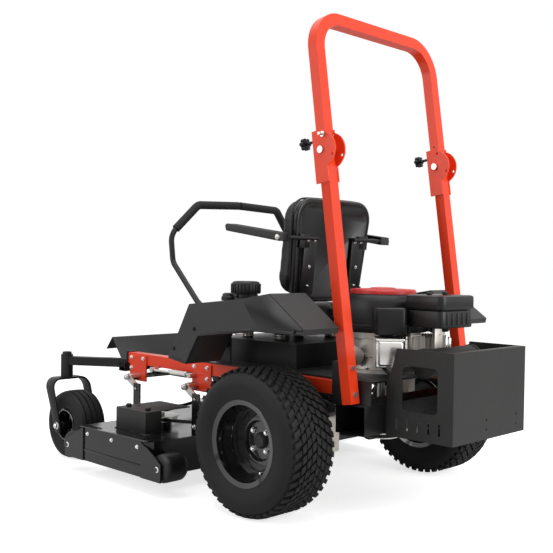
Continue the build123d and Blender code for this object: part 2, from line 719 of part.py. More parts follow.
def rear_tyre():
    half = REAR_TYRE_WIDTH / 2
    bead = REAR_RIM_WIDTH / 2
    wall_r = (REAR_TYRE_R + REAR_FLANGE_R) / 2
    section = make_face(
        Polyline(
            (-bead, REAR_RIM_R),
            (-bead, REAR_FLANGE_R),
            (-half, wall_r - 5),
            (-half, wall_r + 18),
            (-half + 22, REAR_TYRE_R - 8),
            (-half + 45, REAR_TYRE_R),
            (half - 45, REAR_TYRE_R),
            (half - 22, REAR_TYRE_R - 8),
            (half, wall_r + 18),
            (half, wall_r - 5),
            (bead, REAR_FLANGE_R),
            (bead, REAR_RIM_R),
            close=True,
        )
    )
    wall = TYRE_WALL
    air = make_face(
        Polyline(
            (-bead + wall, REAR_RIM_R - 1),
            (-bead + wall, REAR_FLANGE_R + 4),
            (-half + wall, wall_r - 3),
            (-half + wall, wall_r + 14),
            (-half + 30, REAR_TYRE_R - 8 - wall),
            (half - 30, REAR_TYRE_R - 8 - wall),
            (half - wall, wall_r + 14),
            (half - wall, wall_r - 3),
            (bead - wall, REAR_FLANGE_R + 4),
            (bead - wall, REAR_RIM_R - 1),
            close=True,
        )
    )
    return Pos(rear_tyre_x, REAR_AXLE_Y, REAR_TYRE_R) * revolve(section - air, Axis.X)


def rear_rim():
    y = REAR_AXLE_Y
    z = REAR_TYRE_R
    bead = REAR_RIM_WIDTH / 2
    x0 = rear_tyre_x - bead
    x1 = rear_tyre_x + bead
    rim = rod_x(REAR_RIM_R, x0, x1, y, z)
    rim += rod_x(REAR_FLANGE_R, x0 - 5, x0, y, z) + rod_x(REAR_FLANGE_R, x1, x1 + 5, y, z)
    disc = (rear_tyre_x - 3.0, rear_tyre_x + 3.0)
    bowl = REAR_RIM_R - 5.0
    rim -= rod_x(bowl, x0 - 6, disc[0], y, z)
    rim -= rod_x(bowl, disc[1], x1 + 6, y, z)
    rim += rod_x(75.0, disc[0] - 10, disc[0], y, z)
    rim += rod_x(28.0, 500.5, disc[0] - 10, y, z)
    rim += rod_x(17.5, 440.0, 501.0, y, z)
    nuts = []
    for i in range(LUG_COUNT):
        angle = math.radians(45 + 360 / LUG_COUNT * i)
        place = (disc[1], y + LUG_CIRCLE_R * math.cos(angle), z + LUG_CIRCLE_R * math.sin(angle))
        nuts.append(hex_head(21.0, 14.0, Plane(origin=place, z_dir=(1, 0, 0))))
    return [rim] + nuts


def caster_fork():
    x = CASTER_X
    py = caster_pivot_y
    inner = FORK_HALF_WIDTH - 5.0
    outer = FORK_HALF_WIDTH + 5.0
    top = PIVOT_TUBE_BOTTOM - 1.0
    fork = block(x - outer, x + outer, py - 32, py + 32, top - 10, top)
    leg = [
        (py - 32, top),
        (py + 32, top),
        (caster_y + 30, CASTER_TYRE_R + 20),
        (caster_y + 26, CASTER_TYRE_R - 36),
        (caster_y - 26, CASTER_TYRE_R - 36),
        (caster_y - 34, CASTER_TYRE_R + 10),
    ]
    fork += plate_yz(leg, x - outer, x - inner)
    fork += plate_yz(leg, x + inner, x + outer)
    fork += rod_z(CASTER_STEM_R, x, py, top - 2, PIVOT_TUBE_TOP + 12.0)
    fork += rod_z(24.0, x, py, PIVOT_TUBE_TOP + SIDE_GAP, PIVOT_TUBE_TOP + 14.0)
    fork -= rod_x(CASTER_AXLE_R, x - outer - 1, x + outer + 1, caster_y, CASTER_TYRE_R)
    axle = rod_x(CASTER_AXLE_R, x - outer - 8, x + outer + 8, caster_y, CASTER_TYRE_R)
    for face in (x - outer - 10, x + outer):
        axle += hex_head(28.0, 10.0, Plane(origin=(face, caster_y, CASTER_TYRE_R), z_dir=(1, 0, 0)))
    return fork, axle


def caster_tyre():
    half = CASTER_TYRE_WIDTH / 2
    bead = half - 12.0
    section = make_face(
        Polyline(
            (-bead, CASTER_RIM_R),
            (-half, CASTER_RIM_R + 30),
            (-half, CASTER_RIM_R + 52),
            (-half + 24, CASTER_TYRE_R - 8),
            (-half + 42, CASTER_TYRE_R),
            (half - 42, CASTER_TYRE_R),
            (half - 24, CASTER_TYRE_R - 8),
            (half, CASTER_RIM_R + 52),
            (half, CASTER_RIM_R + 30),
            (bead, CASTER_RIM_R),
            close=True,
        )
    )
    wall = TYRE_WALL
    air = make_face(
        Polyline(
            (-bead + wall, CASTER_RIM_R - 1),
            (-half + wall, CASTER_RIM_R + 32),
            (-half + wall, CASTER_RIM_R + 48),
            (-half + 32, CASTER_TYRE_R - 8 - wall),
            (half - 32, CASTER_TYRE_R - 8 - wall),
            (half - wall, CASTER_RIM_R + 48),
            (half - wall, CASTER_RIM_R + 32),
            (bead - wall, CASTER_RIM_R - 1),
            close=True,
        )
    )
    return Pos(CASTER_X, caster_y, CASTER_TYRE_R) * revolve(section - air, Axis.X)


def caster_hub():
    bead = CASTER_TYRE_WIDTH / 2 - 12.0
    x = CASTER_X
    z = CASTER_TYRE_R
    hub = rod_x(CASTER_RIM_R, x - bead, x + bead, caster_y, z)
    hub -= rod_x(CASTER_RIM_R - 6, x - bead - 1, x - 8, caster_y, z)
    hub -= rod_x(CASTER_RIM_R - 6, x + 8, x + bead + 1, caster_y, z)
    hub += rod_x(24.0, x - FORK_HALF_WIDTH + 6, x + FORK_HALF_WIDTH - 6, caster_y, z)
    return hub - rod_x(CASTER_AXLE_R + RUNNING_GAP, x - 150, x + 150, caster_y, z)


# ---- Engine ----
def engine_block():
    case = rod_z(CRANKCASE_R, 0, ENGINE_Y, engine_plate_top, CRANKCASE_TOP)
    for angle in (45.0, -45.0):
        place = Pos(0, ENGINE_Y, engine_plate_top + 95.0) * Rot(0, 0, -angle)
        length = CYLINDER_REACH - 100.0
        case += place * Pos(0, 100.0 + length / 2, 0) * Box(CYLINDER_SIZE, length, CYLINDER_SIZE)
    case -= rod_z(CRANK_R + RUNNING_GAP, 0, ENGINE_Y, engine_plate_top - 1, engine_plate_top + 30.0)
    return [case]


def blower_housing():
    cover = rod_z(BLOWER_R, 0, ENGINE_Y, CRANKCASE_TOP, BLOWER_TOP)
    cover = fillet(cover.edges().group_by(Axis.Z)[-1], 18.0)
    for angle in (45.0, -45.0):
        place = Pos(0, ENGINE_Y, (CRANKCASE_TOP + BLOWER_TOP) / 2 - 20.0) * Rot(0, 0, -angle)
        cover += place * Pos(0, 190.0, 0) * Box(CYLINDER_SIZE + 14, 170.0, BLOWER_TOP - CRANKCASE_TOP - 40.0)
    cover -= air_cleaner_box(2.0)
    return [cover]


def fan_screen():
    screen = rod_z(SCREEN_R, 0, ENGINE_Y, BLOWER_TOP, SCREEN_TOP)
    return [fillet(screen.edges().group_by(Axis.Z)[-1], 6.0)]


def air_cleaner_box(margin):
    front = ENGINE_Y + BLOWER_R + 3.0
    return block(-120.0 - margin, 120.0 + margin, front - margin, front + 184.0, 733.0, 860.0 + margin)


def air_cleaner():
    box = fillet(air_cleaner_box(0).edges().filter_by(Axis.Z), 30.0)
    for x in (-55.0, 55.0):
        box += rod_z(13.0, x, ENGINE_Y + BLOWER_R + 80.0, 859.0, 872.0)
    return [box]


def oil_filter():
    place = Pos(CRANKCASE_R + FILTER_R, ENGINE_Y, FILTER_Z) * Rot(0, 70, 0)
    body = place * Cylinder(FILTER_R, FILTER_LENGTH)
    return [body - rod_z(CRANKCASE_R, 0, ENGINE_Y, engine_plate_top, CRANKCASE_TOP)]


def muffler():
    y = CROSSBEAM_REAR_Y + MUFFLER_FROM_BEAM
    body = rod_x(MUFFLER_R, -MUFFLER_HALF_LENGTH, MUFFLER_HALF_LENGTH, y, MUFFLER_Z)
    body += rod_y(TAILPIPE_R, TAILPIPE_X, y + 50.0, y + 130.0, MUFFLER_Z)
    return [body]


def fuel_line():
    start = (POD_INNER_X, 430.0, 760.0)
    route = (start, (335.0, 430.0, 760.0), (240.0, 490.0, 680.0), (150.0, 545.0, 660.0))
    hose = round_bar(route, [40.0, 50.0], FUEL_LINE_R)
    return [hose - rod_z(CRANKCASE_R, 0, ENGINE_Y, engine_plate_top, CRANKCASE_TOP)]


def grooved_pulley(x, y):
    pulley = rod_z(PULLEY_R + 8.0, x, y, pulley_bottom, pulley_top)
    groove = rod_z(PULLEY_R + 9.0, x, y, pulley_bottom + 3, pulley_top - 3)
    return pulley - (groove - rod_z(PULLEY_R, x, y, pulley_bottom, pulley_top))


def engine_pulley():
    shaft = rod_z(CRANK_R, 0, ENGINE_Y, pulley_bottom, engine_plate_top + 28.0)
    clutch = rod_z(CLUTCH_R, 0, ENGINE_Y, pulley_top + 10, pulley_top + 70)
    return [grooved_pulley(0, ENGINE_Y) + shaft + clutch]


# ---- Mower deck ----
SPINDLES = {
    "left": (SPINDLE_X, outer_spindle_y),
    "centre": (0.0, centre_spindle_y),
    "right": (-SPINDLE_X, outer_spindle_y),
}
ROLLERS = {
    "front_left": (1, outer_spindle_y - 341.0),
    "front_right": (-1, outer_spindle_y - 341.0),
    "rear_left": (1, outer_spindle_y + 327.0),
    "rear_right": (-1, outer_spindle_y + 327.0),
}


def deck_outline(inset):
    reach = blade_r + BLADE_SPACE + DECK_SHEET - inset
    half = DECK_HALF_WIDTH - inset
    rear = outer_spindle_y + reach
    front = outer_spindle_y - reach
    centre_front = centre_spindle_y - reach
    corner = 30.0
    side = [
        (half, front + corner),
        (half, rear - corner),
        (half - corner, rear),
        (SPINDLE_X - 150.0, rear),
        (SPINDLE_X - 260.0, rear - 110.0),
    ]
    nose = [
        (SPINDLE_X - 242.0, centre_front),
        (SPINDLE_X - 62.0, front),
        (half - corner, front),
    ]
    left = side
    right = [(-x, y) for x, y in reversed(side)]
    nose_right = [(-x, y) for x, y in reversed(nose)]
    return left + right + nose_right + nose


def chute_span():
    return outer_spindle_y - CHUTE_LENGTH / 2 - 60.0, outer_spindle_y + CHUTE_LENGTH / 2 - 60.0


def deck_shell():
    shell = plate_xy(deck_outline(0), DECK_BOTTOM, DECK_TOP)
    shell -= plate_xy(deck_outline(DECK_SHEET), DECK_BOTTOM - 1, DECK_TOP - DECK_SHEET)
    for x, y in SPINDLES.values():
        shell += rod_z(45.0, x, y, BLADE_Z + 20.0, pulley_bottom - 8.0)
    for x, y in SPINDLES.values():
        shell -= rod_z(SPINDLE_R + RUNNING_GAP, x, y, DECK_BOTTOM, pulley_top)
    y0, y1 = chute_span()
    wall_x = (-DECK_HALF_WIDTH - 1, -DECK_HALF_WIDTH + 10)
    shell -= block(*wall_x, y0 + 4, y1 - 4, DECK_BOTTOM - 1, DECK_TOP - 22)
    for side, roller_y in ROLLERS.values():
        shell += roller_bracket(side, roller_y)
    for shaft_y in (front_shaft_y, rear_shaft_y):
        for side in (1, -1):
            shell += hanger(side, shaft_y)
    shell += chute_hinge_pin()
    return [shell]


def roller_bracket(side, roller_y):
    """A plate beyond the end of the skirt, with the roller's axle standing inwards from it."""
    inward = 1 if roller_y < outer_spindle_y else -1
    skirt_y = outer_spindle_y - inward * (blade_r - 30.0)
    far = roller_y - inward * 22.0
    outline = [
        (skirt_y, DECK_TOP),
        (far, ROLLER_Z + 22.0),
        (far, DECK_BOTTOM),
        (skirt_y, DECK_BOTTOM),
    ]
    outer = DECK_HALF_WIDTH + ROLLER_BRACKET
    bracket = plate_yz(outline, DECK_HALF_WIDTH, outer)
    axle_end = outer - ROLLER_LENGTH - 24.0
    bracket += rod_x(ROLLER_AXLE_R, axle_end, outer + 6.0, roller_y, ROLLER_Z)
    bracket += rod_x(ROLLER_AXLE_R + 5, axle_end - 6.0, axle_end, roller_y, ROLLER_Z)
    return bracket if side > 0 else other_side(bracket)


def roller(side, roller_y):
    x1 = DECK_HALF_WIDTH - 6.0
    x0 = x1 - ROLLER_LENGTH
    wheel = rod_x(ROLLER_R, x0, x1, roller_y, ROLLER_Z)
    wheel = fillet(wheel.edges(), 12.0)
    wheel -= rod_x(ROLLER_AXLE_R + RUNNING_GAP, x0 - 1, x1 + 1, roller_y, ROLLER_Z)
    return wheel if side > 0 else other_side(wheel)


arm_drop = LIFT_ARM * math.sin(math.radians(30))
arm_back = LIFT_ARM * math.cos(math.radians(30))
arm_x = rail_outer + 62.0
hanger_x = arm_x + 9.5


def hanger(side, shaft_y):
    """An upright on the deck with a slot for the lift arm's pin."""
    pin_y = shaft_y + arm_back
    pin_z = LIFT_SHAFT_Z - arm_drop
    plate = block(hanger_x, hanger_x + 8, pin_y - 18, pin_y + 30, DECK_TOP - 1, pin_z + 24)
    slot = Plane.YZ.offset(hanger_x - 1) * Pos(pin_y + 6.0, pin_z) * SlotOverall(31.0, 15.2)
    plate -= extrude(slot, amount=10)
    return plate if side > 0 else other_side(plate)


def lift_shaft(shaft_y):
    shaft = rod_x(LIFT_SHAFT_R, -arm_x - 8, arm_x + 8, shaft_y, LIFT_SHAFT_Z)
    for side in (1, -1):
        x0, x1 = sorted((side * (rail_outer + 9.0), side * arm_x))
        shaft += rod_x(18.0, x0, x1, shaft_y, LIFT_SHAFT_Z)
        arm = Plane.YZ.offset(arm_x) * Pos(shaft_y, LIFT_SHAFT_Z) * Rot(0, 0, -30) * Pos(LIFT_ARM / 2, 0)
        arm = extrude(arm * SlotCenterToCenter(LIFT_ARM, 30.0), amount=8.0)
        arm += rod_x(6.0, arm_x, arm_x + 20.0, shaft_y + arm_back, LIFT_SHAFT_Z - arm_drop)
        shaft += arm if side > 0 else other_side(arm)
    return shaft


def lift_pedal():
    shaft = lift_shaft(front_shaft_y)
    pedal = Pos(-250.0, front_shaft_y, LIFT_SHAFT_Z) * Rot(-10, 0, 0)
    stalk = pedal * Pos(0, 0, 97.0) * Box(10.0, 20.0, 186.0)
    pad = pedal * Pos(0, 0, 194.0) * Rot(-25, 0, 0) * Box(90.0, 60.0, 12.0)
    return [shaft + stalk + pad]


def belt_cover():
    x0 = SPINDLE_X - 77.0
    x1 = SPINDLE_X + 178.0
    wall_x = SPINDLE_X + PULLEY_R + 18.0
    y0 = outer_spindle_y - 105.0
    y1 = outer_spindle_y + 120.0
    top = DECK_TOP + 98.0
    cover = block(x0, x1, y0, y1, top - 3, top)
    cover += block(x1 - 3, x1, y0, y1, DECK_TOP, top)
    for y in (y0, y1 - 3):
        cover += block(wall_x, x1, y, y + 3, DECK_TOP, top)
    return cover


def hull_ring(outer, inner):
    """A flat loop round the engine pulley and the three spindle pulleys."""
    centres = [(0.0, ENGINE_Y)] + list(SPINDLES.values())

    def loop(radius):
        edges = []
        for x, y in centres:
            edges += (Pos(x, y) * Circle(radius)).edges()
        return make_hull(edges)

    return loop(outer) - loop(inner)


def drive_belt():
    ring = hull_ring(PULLEY_R + BELT_THICKNESS, PULLEY_R + 0.5)
    return [extrude(Plane.XY.offset(BELT_Z - BELT_WIDTH / 2) * ring, amount=BELT_WIDTH)]


def spindle(x, y):
    shaft = rod_z(SPINDLE_R, x, y, BLADE_Z - 6, pulley_top + 12)
    shaft += rod_z(24.0, x, y, BLADE_Z + 6, BLADE_Z + 19.5)
    shaft += rod_z(24.0, x, y, pulley_bottom - 7.5, pulley_bottom)
    shaft += grooved_pulley(x, y)
    blade = Pos(x, y, BLADE_Z + 3) * Box(BLADE_LENGTH, 60.0, 6.0)
    blade &= rod_z(blade_r, x, y, BLADE_Z - 1, BLADE_Z + 8)
    blade -= rod_z(SPINDLE_R, x, y, BLADE_Z - 1, BLADE_Z + 8)
    nut = Plane(origin=(x, y, BLADE_Z - 16), z_dir=(0, 0, 1))
    return [shaft, blade, hex_head(30.0, 10.0, nut)]


chute_pin_x = -DECK_HALF_WIDTH - 12.0
chute_pin_z = DECK_TOP - 10.0


def chute_hinge_pin():
    y0, y1 = chute_span()
    pin = rod_y(4.0, chute_pin_x, y0 - 8, y1 + 8, chute_pin_z)
    for y in (y0 - 8, y1 + 2):
        pin += block(chute_pin_x - 8, -DECK_HALF_WIDTH, y, y + 6, chute_pin_z - 8, chute_pin_z + 8)
    return pin


def discharge_chute():
    y0, y1 = chute_span()
    y0 += 1.0
    y1 -= 1.0
    down = math.radians(22)
    tip_x = chute_pin_x - CHUTE_REACH * math.cos(down)
    tip_z = chute_pin_z - CHUTE_REACH * math.sin(down)
    top = [
        (chute_pin_x, chute_pin_z + 8),
        (tip_x, tip_z + 6),
        (tip_x, tip_z),
        (chute_pin_x, chute_pin_z + 2),
    ]
    side = [
        (chute_pin_x - 10, chute_pin_z + 2),
        (tip_x, tip_z + 2),
        (tip_x, tip_z - 30),
        (chute_pin_x - 30, chute_pin_z - 60),
    ]

    def plate_xz(points, ya, yb):
        sketch = make_face(Polyline(*[(x, z) for x, z in points], close=True))
        upright = Plane(origin=(0, yb, 0), x_dir=(1, 0, 0), z_dir=(0, -1, 0))
        return extrude(upright * sketch, amount=yb - ya)

    chute = plate_xz(top, y0, y1)
    chute += plate_xz(side, y0, y0 + 5) + plate_xz(side, y1 - 5, y1)
    chute += rod_y(8.0, chute_pin_x, y0, y1, chute_pin_z)
    chute -= rod_y(4.0 + RUNNING_GAP, chute_pin_x, y0 - 1, y1 + 1, chute_pin_z)
    return [chute]


# ---- The whole mower, one file for each named piece ----
def sides(name, shapes):
    """Left and right versions of a piece that is drawn on the left."""
    return {
        name + "_left": shapes,
        name + "_right": [other_side(shape) for shape in shapes],
    }


pieces = {
    "frame_rails": frame_rails(),
    "front_beam": front_beam(),
    "rear_frame": rear_frame(),
    "rops_posts": rops_posts(),
    "rops_hoop": rops_hoop(),
    "frame_bolts": frame_bolts(),
    "engine_guard": engine_guard(),
    "foot_pan": foot_pan(),
    "platform": platform(),
    "seat_frame": seat_frame(),
    "seat_cushion": seat_cushion(),
    "seat_back": seat_back(),
    "fender_left": fender_left(),
    "fender_right": fender_right(),
    "fuel_cap": fuel_cap(),
    "throttle_lever": throttle_lever(),
    "ignition_key": ignition_key(),
    "pto_knob": pto_knob(),
    "transaxles": both_sides(transaxle()),
    "engine_block": engine_block(),
    "blower_housing": blower_housing(),
    "fan_screen": fan_screen(),
    "air_cleaner": air_cleaner(),
    "oil_filter": oil_filter(),
    "muffler": muffler(),
    "fuel_line": fuel_line(),
    "engine_pulley": engine_pulley(),
    "drive_belt": drive_belt(),
    "deck_shell": deck_shell(),
    "belt_covers": both_sides(belt_cover()),
    "discharge_chute": discharge_chute(),
    "lift_shaft_front": lift_pedal(),
    "lift_shaft_rear": [lift_shaft(rear_shaft_y)],
}
pieces |= sides("rops_pin", [rops_pin()])
pieces |= sides("armrest", [armrest()])
pieces |= sides("lever_base", [lever_base()])
pieces |= sides("lap_bar", [lap_bar()])
pieces |= sides("grip", [grip()])
pieces |= sides("rear_tyre", [rear_tyre()])
pieces |= sides("rear_rim", rear_rim())
pieces |= sides("caster_fork", list(caster_fork()))
pieces |= sides("caster_tyre", [caster_tyre()])
pieces |= sides("caster_hub", [caster_hub()])
for place, (x, y) in SPINDLES.items():
    pieces["spindle_" + place] = spindle(x, y)
for place, (side, y) in ROLLERS.items():
    pieces["roller_" + place] = [roller(side, y)]

os.makedirs("parts", exist_ok=True)
for node, shapes in pieces.items():
    solids = [solid for shape in shapes for solid in shape.solids()]
    export_step(Compound(solids), f"parts/{node}.step")
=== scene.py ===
import math

import bmesh
import bpy
from mathutils import Matrix, Vector


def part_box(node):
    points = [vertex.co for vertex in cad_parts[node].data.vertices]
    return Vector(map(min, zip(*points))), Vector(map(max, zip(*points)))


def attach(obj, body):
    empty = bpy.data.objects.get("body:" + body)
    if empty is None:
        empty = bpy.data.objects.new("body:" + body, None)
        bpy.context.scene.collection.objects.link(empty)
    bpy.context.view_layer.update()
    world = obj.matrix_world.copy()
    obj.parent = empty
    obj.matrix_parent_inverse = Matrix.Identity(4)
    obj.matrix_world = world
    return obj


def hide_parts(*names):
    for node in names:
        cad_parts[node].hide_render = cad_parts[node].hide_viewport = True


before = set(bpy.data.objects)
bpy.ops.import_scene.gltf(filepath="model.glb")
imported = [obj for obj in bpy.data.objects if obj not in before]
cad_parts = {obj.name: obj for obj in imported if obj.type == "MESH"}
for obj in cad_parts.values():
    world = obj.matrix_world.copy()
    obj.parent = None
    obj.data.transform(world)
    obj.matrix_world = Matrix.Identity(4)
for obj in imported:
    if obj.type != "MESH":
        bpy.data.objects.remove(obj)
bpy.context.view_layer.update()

# ---- Studio ----
# A white cyclorama: one wide floor that carries the soft shadow, a white surround,
# and three large soft boxes.  The camera stands behind the mower on the driver's left.
CAMERA_PLACE = (2.964, 2.8536, 0.9824)
CAMERA_RIGHT = (-0.70243, 0.71158, 0.01552)
CAMERA_UP = (-0.0011, -0.02289, 0.99974)
CAMERA_BACK = (0.71175, 0.70223, 0.01686)
CAMERA_LENS = 57.49
SURROUND_LIGHT = 0.32
SURROUND_SEEN = 1.0
FLOOR_SIZE = 30.0
FLOOR_GLOW = 0.7
WHITE = (1, 1, 1, 1)
at = Matrix.Translation


def in_scene(name, data):
    """A new object in the scene that holds the data."""
    thing = bpy.data.objects.new(name, data)
    bpy.context.scene.collection.objects.link(thing)
    return thing


def facing(way, axis="Z", up="Y"):
    """The turn that points an axis along the way."""
    return Vector(way).to_track_quat(axis, up).to_matrix().to_4x4()


def shader_node(tree, kind, **sockets):
    """Adds a node and sets its sockets, which are named with _ for a space."""
    made = tree.nodes.new("ShaderNode" + kind)
    for socket, value in sockets.items():
        made.inputs[socket.replace("_", " ")].default_value = value
    return made


camera_data = bpy.data.cameras.new("camera")
camera_data.lens = CAMERA_LENS
camera_data.sensor_width = 36.0
camera_data.clip_end = 60.0
camera = in_scene("camera", camera_data)
turn = Matrix((CAMERA_RIGHT, CAMERA_UP, CAMERA_BACK)).transposed().to_4x4()
camera.matrix_world = at(CAMERA_PLACE) @ turn
bpy.context.scene.camera = camera
bpy.context.scene.view_settings.view_transform = "Standard"

world = bpy.data.worlds.new("studio")
bpy.context.scene.world = world
world.use_nodes = True
tree = world.node_tree
tree.nodes.clear()
output = shader_node(tree, "OutputWorld")
lit = shader_node(tree, "Background", Color=WHITE, Strength=SURROUND_LIGHT)
white = shader_node(tree, "Background", Color=WHITE, Strength=SURROUND_SEEN)
path = shader_node(tree, "LightPath")
mix = shader_node(tree, "MixShader")
either = shader_node(tree, "Math")
any_way = shader_node(tree, "Math")
either.operation = any_way.operation = "MAXIMUM"
join = tree.links.new
join(path.outputs["Is Camera Ray"], either.inputs[0])
join(path.outputs["Is Transmission Ray"], either.inputs[1])
join(either.outputs[0], any_way.inputs[0])
join(path.outputs["Is Glossy Ray"], any_way.inputs[1])
join(any_way.outputs[0], mix.inputs["Fac"])
join(lit.outputs[0], mix.inputs[1])
join(white.outputs[0], mix.inputs[2])
join(mix.outputs[0], output.inputs["Surface"])


def soft_box(name, place, aim, size, power):
    lamp = bpy.data.lights.new(name, "AREA")
    lamp.shape = "RECTANGLE"
    lamp.size, lamp.size_y = size
    lamp.energy = power
    way = Vector(aim) - Vector(place)
    in_scene(name, lamp).matrix_world = at(place) @ facing(way, "-Z")


soft_box("soft_box_top", (0.6, 0.6, 4.6), (0, 0, 0.4), (4.5, 4.5), 150)
soft_box("soft_box_left", (4.2, -1.2, 2.2), (0, 0, 0.6), (2.4, 3.0), 55)
soft_box("soft_box_rear", (-1.0, 4.6, 2.0), (0, 0.2, 0.9), (2.4, 3.0), 130)

floor_mesh = bpy.data.meshes.new("studio_floor")
floor_bm = bmesh.new()
bmesh.ops.create_grid(floor_bm, x_segments=1, y_segments=1, size=FLOOR_SIZE)
floor_bm.to_mesh(floor_mesh)
floor_bm.free()
in_scene("studio_floor", floor_mesh)
floor_paper = bpy.data.materials.new("floor_paper")
floor_paper.use_nodes = True
tree = floor_paper.node_tree
paper = tree.nodes["Principled BSDF"]
paper.inputs["Base Color"].default_value = (0.86, 0.86, 0.86, 1)
paper.inputs["Roughness"].default_value = 0.9
paper.inputs["Specular IOR Level"].default_value = 0.1
glow = shader_node(tree, "Emission", Color=WHITE)
seen = shader_node(tree, "LightPath")
lift = shader_node(tree, "Math")
lift.operation = "MULTIPLY"
lift.inputs[1].default_value = FLOOR_GLOW
both = shader_node(tree, "AddShader")
join = tree.links.new
join(seen.outputs["Is Camera Ray"], lift.inputs[0])
join(lift.outputs[0], glow.inputs["Strength"])
join(paper.outputs[0], both.inputs[0])
join(glow.outputs[0], both.inputs[1])
join(both.outputs[0], tree.nodes["Material Output"].inputs["Surface"])
floor_mesh.materials.append(floor_paper)


# ---- Frame ----
# Rectangular steel tube rails, roll bar posts and hoop, sprayed in one red-orange powder
# coat with a fine orange peel.  The beams, pans and guard are coated black, bolts plated.
BLOTCH_SCALE = 6.0
GRAIN_DEPTH = 0.0006
WELD_GAP = 2e-6
KNOB_BEHIND_Y = 0.5275
KNOB_HEIGHTS = (1.38, 1.5)


def finish(name, colour, roughness, metallic=0.0, grain=400.0, bump=0.1, shade=0.12, spread=0.1, **sockets):
    """A surface: colour and roughness that drift over blotches, and a fine grain."""
    material = bpy.data.materials.new(name)
    material.use_nodes = True
    tree = material.node_tree
    shader = tree.nodes["Principled BSDF"]
    shader.inputs["Metallic"].default_value = metallic
    for socket, value in sockets.items():
        shader.inputs[socket.replace("_", " ")].default_value = value
    place = shader_node(tree, "TexCoord")
    clouds = shader_node(tree, "TexNoise", Scale=BLOTCH_SCALE, Detail=6.0)
    tint = shader_node(tree, "ValToRGB")
    ramp = tint.color_ramp.elements
    ramp[0].position = 0.35
    ramp[1].position = 0.65
    ramp[0].color = (*[c * (1 - shade) for c in colour], 1)
    ramp[1].color = (*[min(1.0, c * (1 + shade)) for c in colour], 1)
    dull, shiny = min(1.0, roughness + spread), max(0.02, roughness - spread)
    rough = shader_node(tree, "MapRange", To_Min=shiny, To_Max=dull)
    fine = shader_node(tree, "TexNoise", Scale=grain, Detail=3.0)
    relief = shader_node(tree, "Bump", Strength=bump, Distance=GRAIN_DEPTH)
    join = tree.links.new
    join(place.outputs["Object"], clouds.inputs["Vector"])
    join(clouds.outputs["Fac"], tint.inputs["Fac"])
    join(tint.outputs["Color"], shader.inputs["Base Color"])
    join(clouds.outputs["Fac"], rough.inputs["Value"])
    join(rough.outputs["Result"], shader.inputs["Roughness"])
    join(place.outputs["Object"], fine.inputs["Vector"])
    join(fine.outputs["Fac"], relief.inputs["Height"])
    join(relief.outputs["Normal"], shader.inputs["Normal"])
    return material


def dress(material, *names):
    """Puts a finish on CAD pieces that keep their own shape."""
    for name in names:
        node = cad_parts[name]
        node.data.materials.clear()
        node.data.materials.append(material)


def ease(piece, width, segments, angle=30):
    """Rounds a piece's edges where its faces turn by more than the angle."""
    edge = piece.modifiers.new("edge", "BEVEL")
    edge.width = width
    edge.segments = segments
    edge.limit_method = "ANGLE"
    edge.angle_limit = math.radians(angle)


def softened(node, material, body, width=0.0015, segments=2):
    """A pressed or folded piece: the CAD shape with its edges eased, in its own finish."""
    bm = bmesh.new()
    bm.from_mesh(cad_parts[node].data)
    bmesh.ops.remove_doubles(bm, verts=bm.verts[:], dist=WELD_GAP)
    bmesh.ops.dissolve_limit(bm, angle_limit=math.radians(0.6), verts=bm.verts[:], edges=bm.edges[:])
    mesh = bpy.data.meshes.new(node + "_eased")
    bm.to_mesh(mesh)
    bm.free()
    piece = in_scene(node + "_eased", mesh)
    mesh.materials.append(material)
    mesh.shade_smooth()
    mesh.set_sharp_from_angle(angle=math.radians(35))
    ease(piece, width, segments, 35)
    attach(piece, body)
    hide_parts(node)
    return piece


red_coat = finish(
    "red_coat", (0.74, 0.045, 0.01), 0.3, grain=160.0, bump=0.12, shade=0.04, spread=0.05, Coat_Weight=0.15,
    Coat_Roughness=0.12, Specular_IOR_Level=0.3
)
black_coat = finish(
    "black_coat", (0.006, 0.006, 0.0065), 0.38, grain=700.0, bump=0.35, shade=0.15, Specular_IOR_Level=0.28
)
textured_coat = finish(
    "textured_coat", (0.016, 0.0155, 0.015), 0.5, grain=420.0, bump=0.8, shade=0.1, Specular_IOR_Level=0.3
)
zinc_plate = finish("zinc_plate", (0.62, 0.61, 0.58), 0.28, metallic=1.0, grain=900.0, bump=0.15, shade=0.1)
black_resin = finish(
    "black_resin", (0.007, 0.007, 0.0075), 0.36, grain=900.0, bump=0.25, shade=0.1, Specular_IOR_Level=0.3
)
dress(red_coat, "rops_hoop")
dress(zinc_plate, "frame_bolts", "rops_pin_left", "rops_pin_right")
softened("frame_rails", red_coat, "chassis", 0.004, 3)
posts = softened("rops_posts", red_coat, "chassis", 0.002)
# The star knobs in front of the hinges are moulded in black, and stay on the posts.
posts.data.materials.append(black_resin)
for face in posts.data.polygons:
    if face.center.y < KNOB_BEHIND_Y and KNOB_HEIGHTS[0] < face.center.z < KNOB_HEIGHTS[1]:
        face.material_index = 1
for node, width in (("rear_frame", 0.002), ("front_beam", 0.002), ("foot_pan", 0.0015), ("platform", 0.002)):
    softened(node, black_coat, "chassis", width)
softened("engine_guard", textured_coat, "chassis", 0.0012)


# ---- Rear wheels ----
# Turf drive tyres of moulded rubber, rows of skewed blocks on a rounded carcass, on deep
# black pressed-steel rims held by four plated nuts.  Cast transaxles drive them.
TREAD_ROWS = 8
TREAD_PITCHES = 46
TREAD_DEPTH = 0.009
BLOCK_LEAN = 0.55
SHOULDER_TILT = 0.3
SHOULDER_DROP = 0.0035
CROWN_FLAT = 0.62
CROWN_FALL = 0.075
CROWN_STEEPNESS = 1.9
BEAD_SHARE = 0.83
LUG_CIRCLE = 0.0508
NUT_COUNT = 4


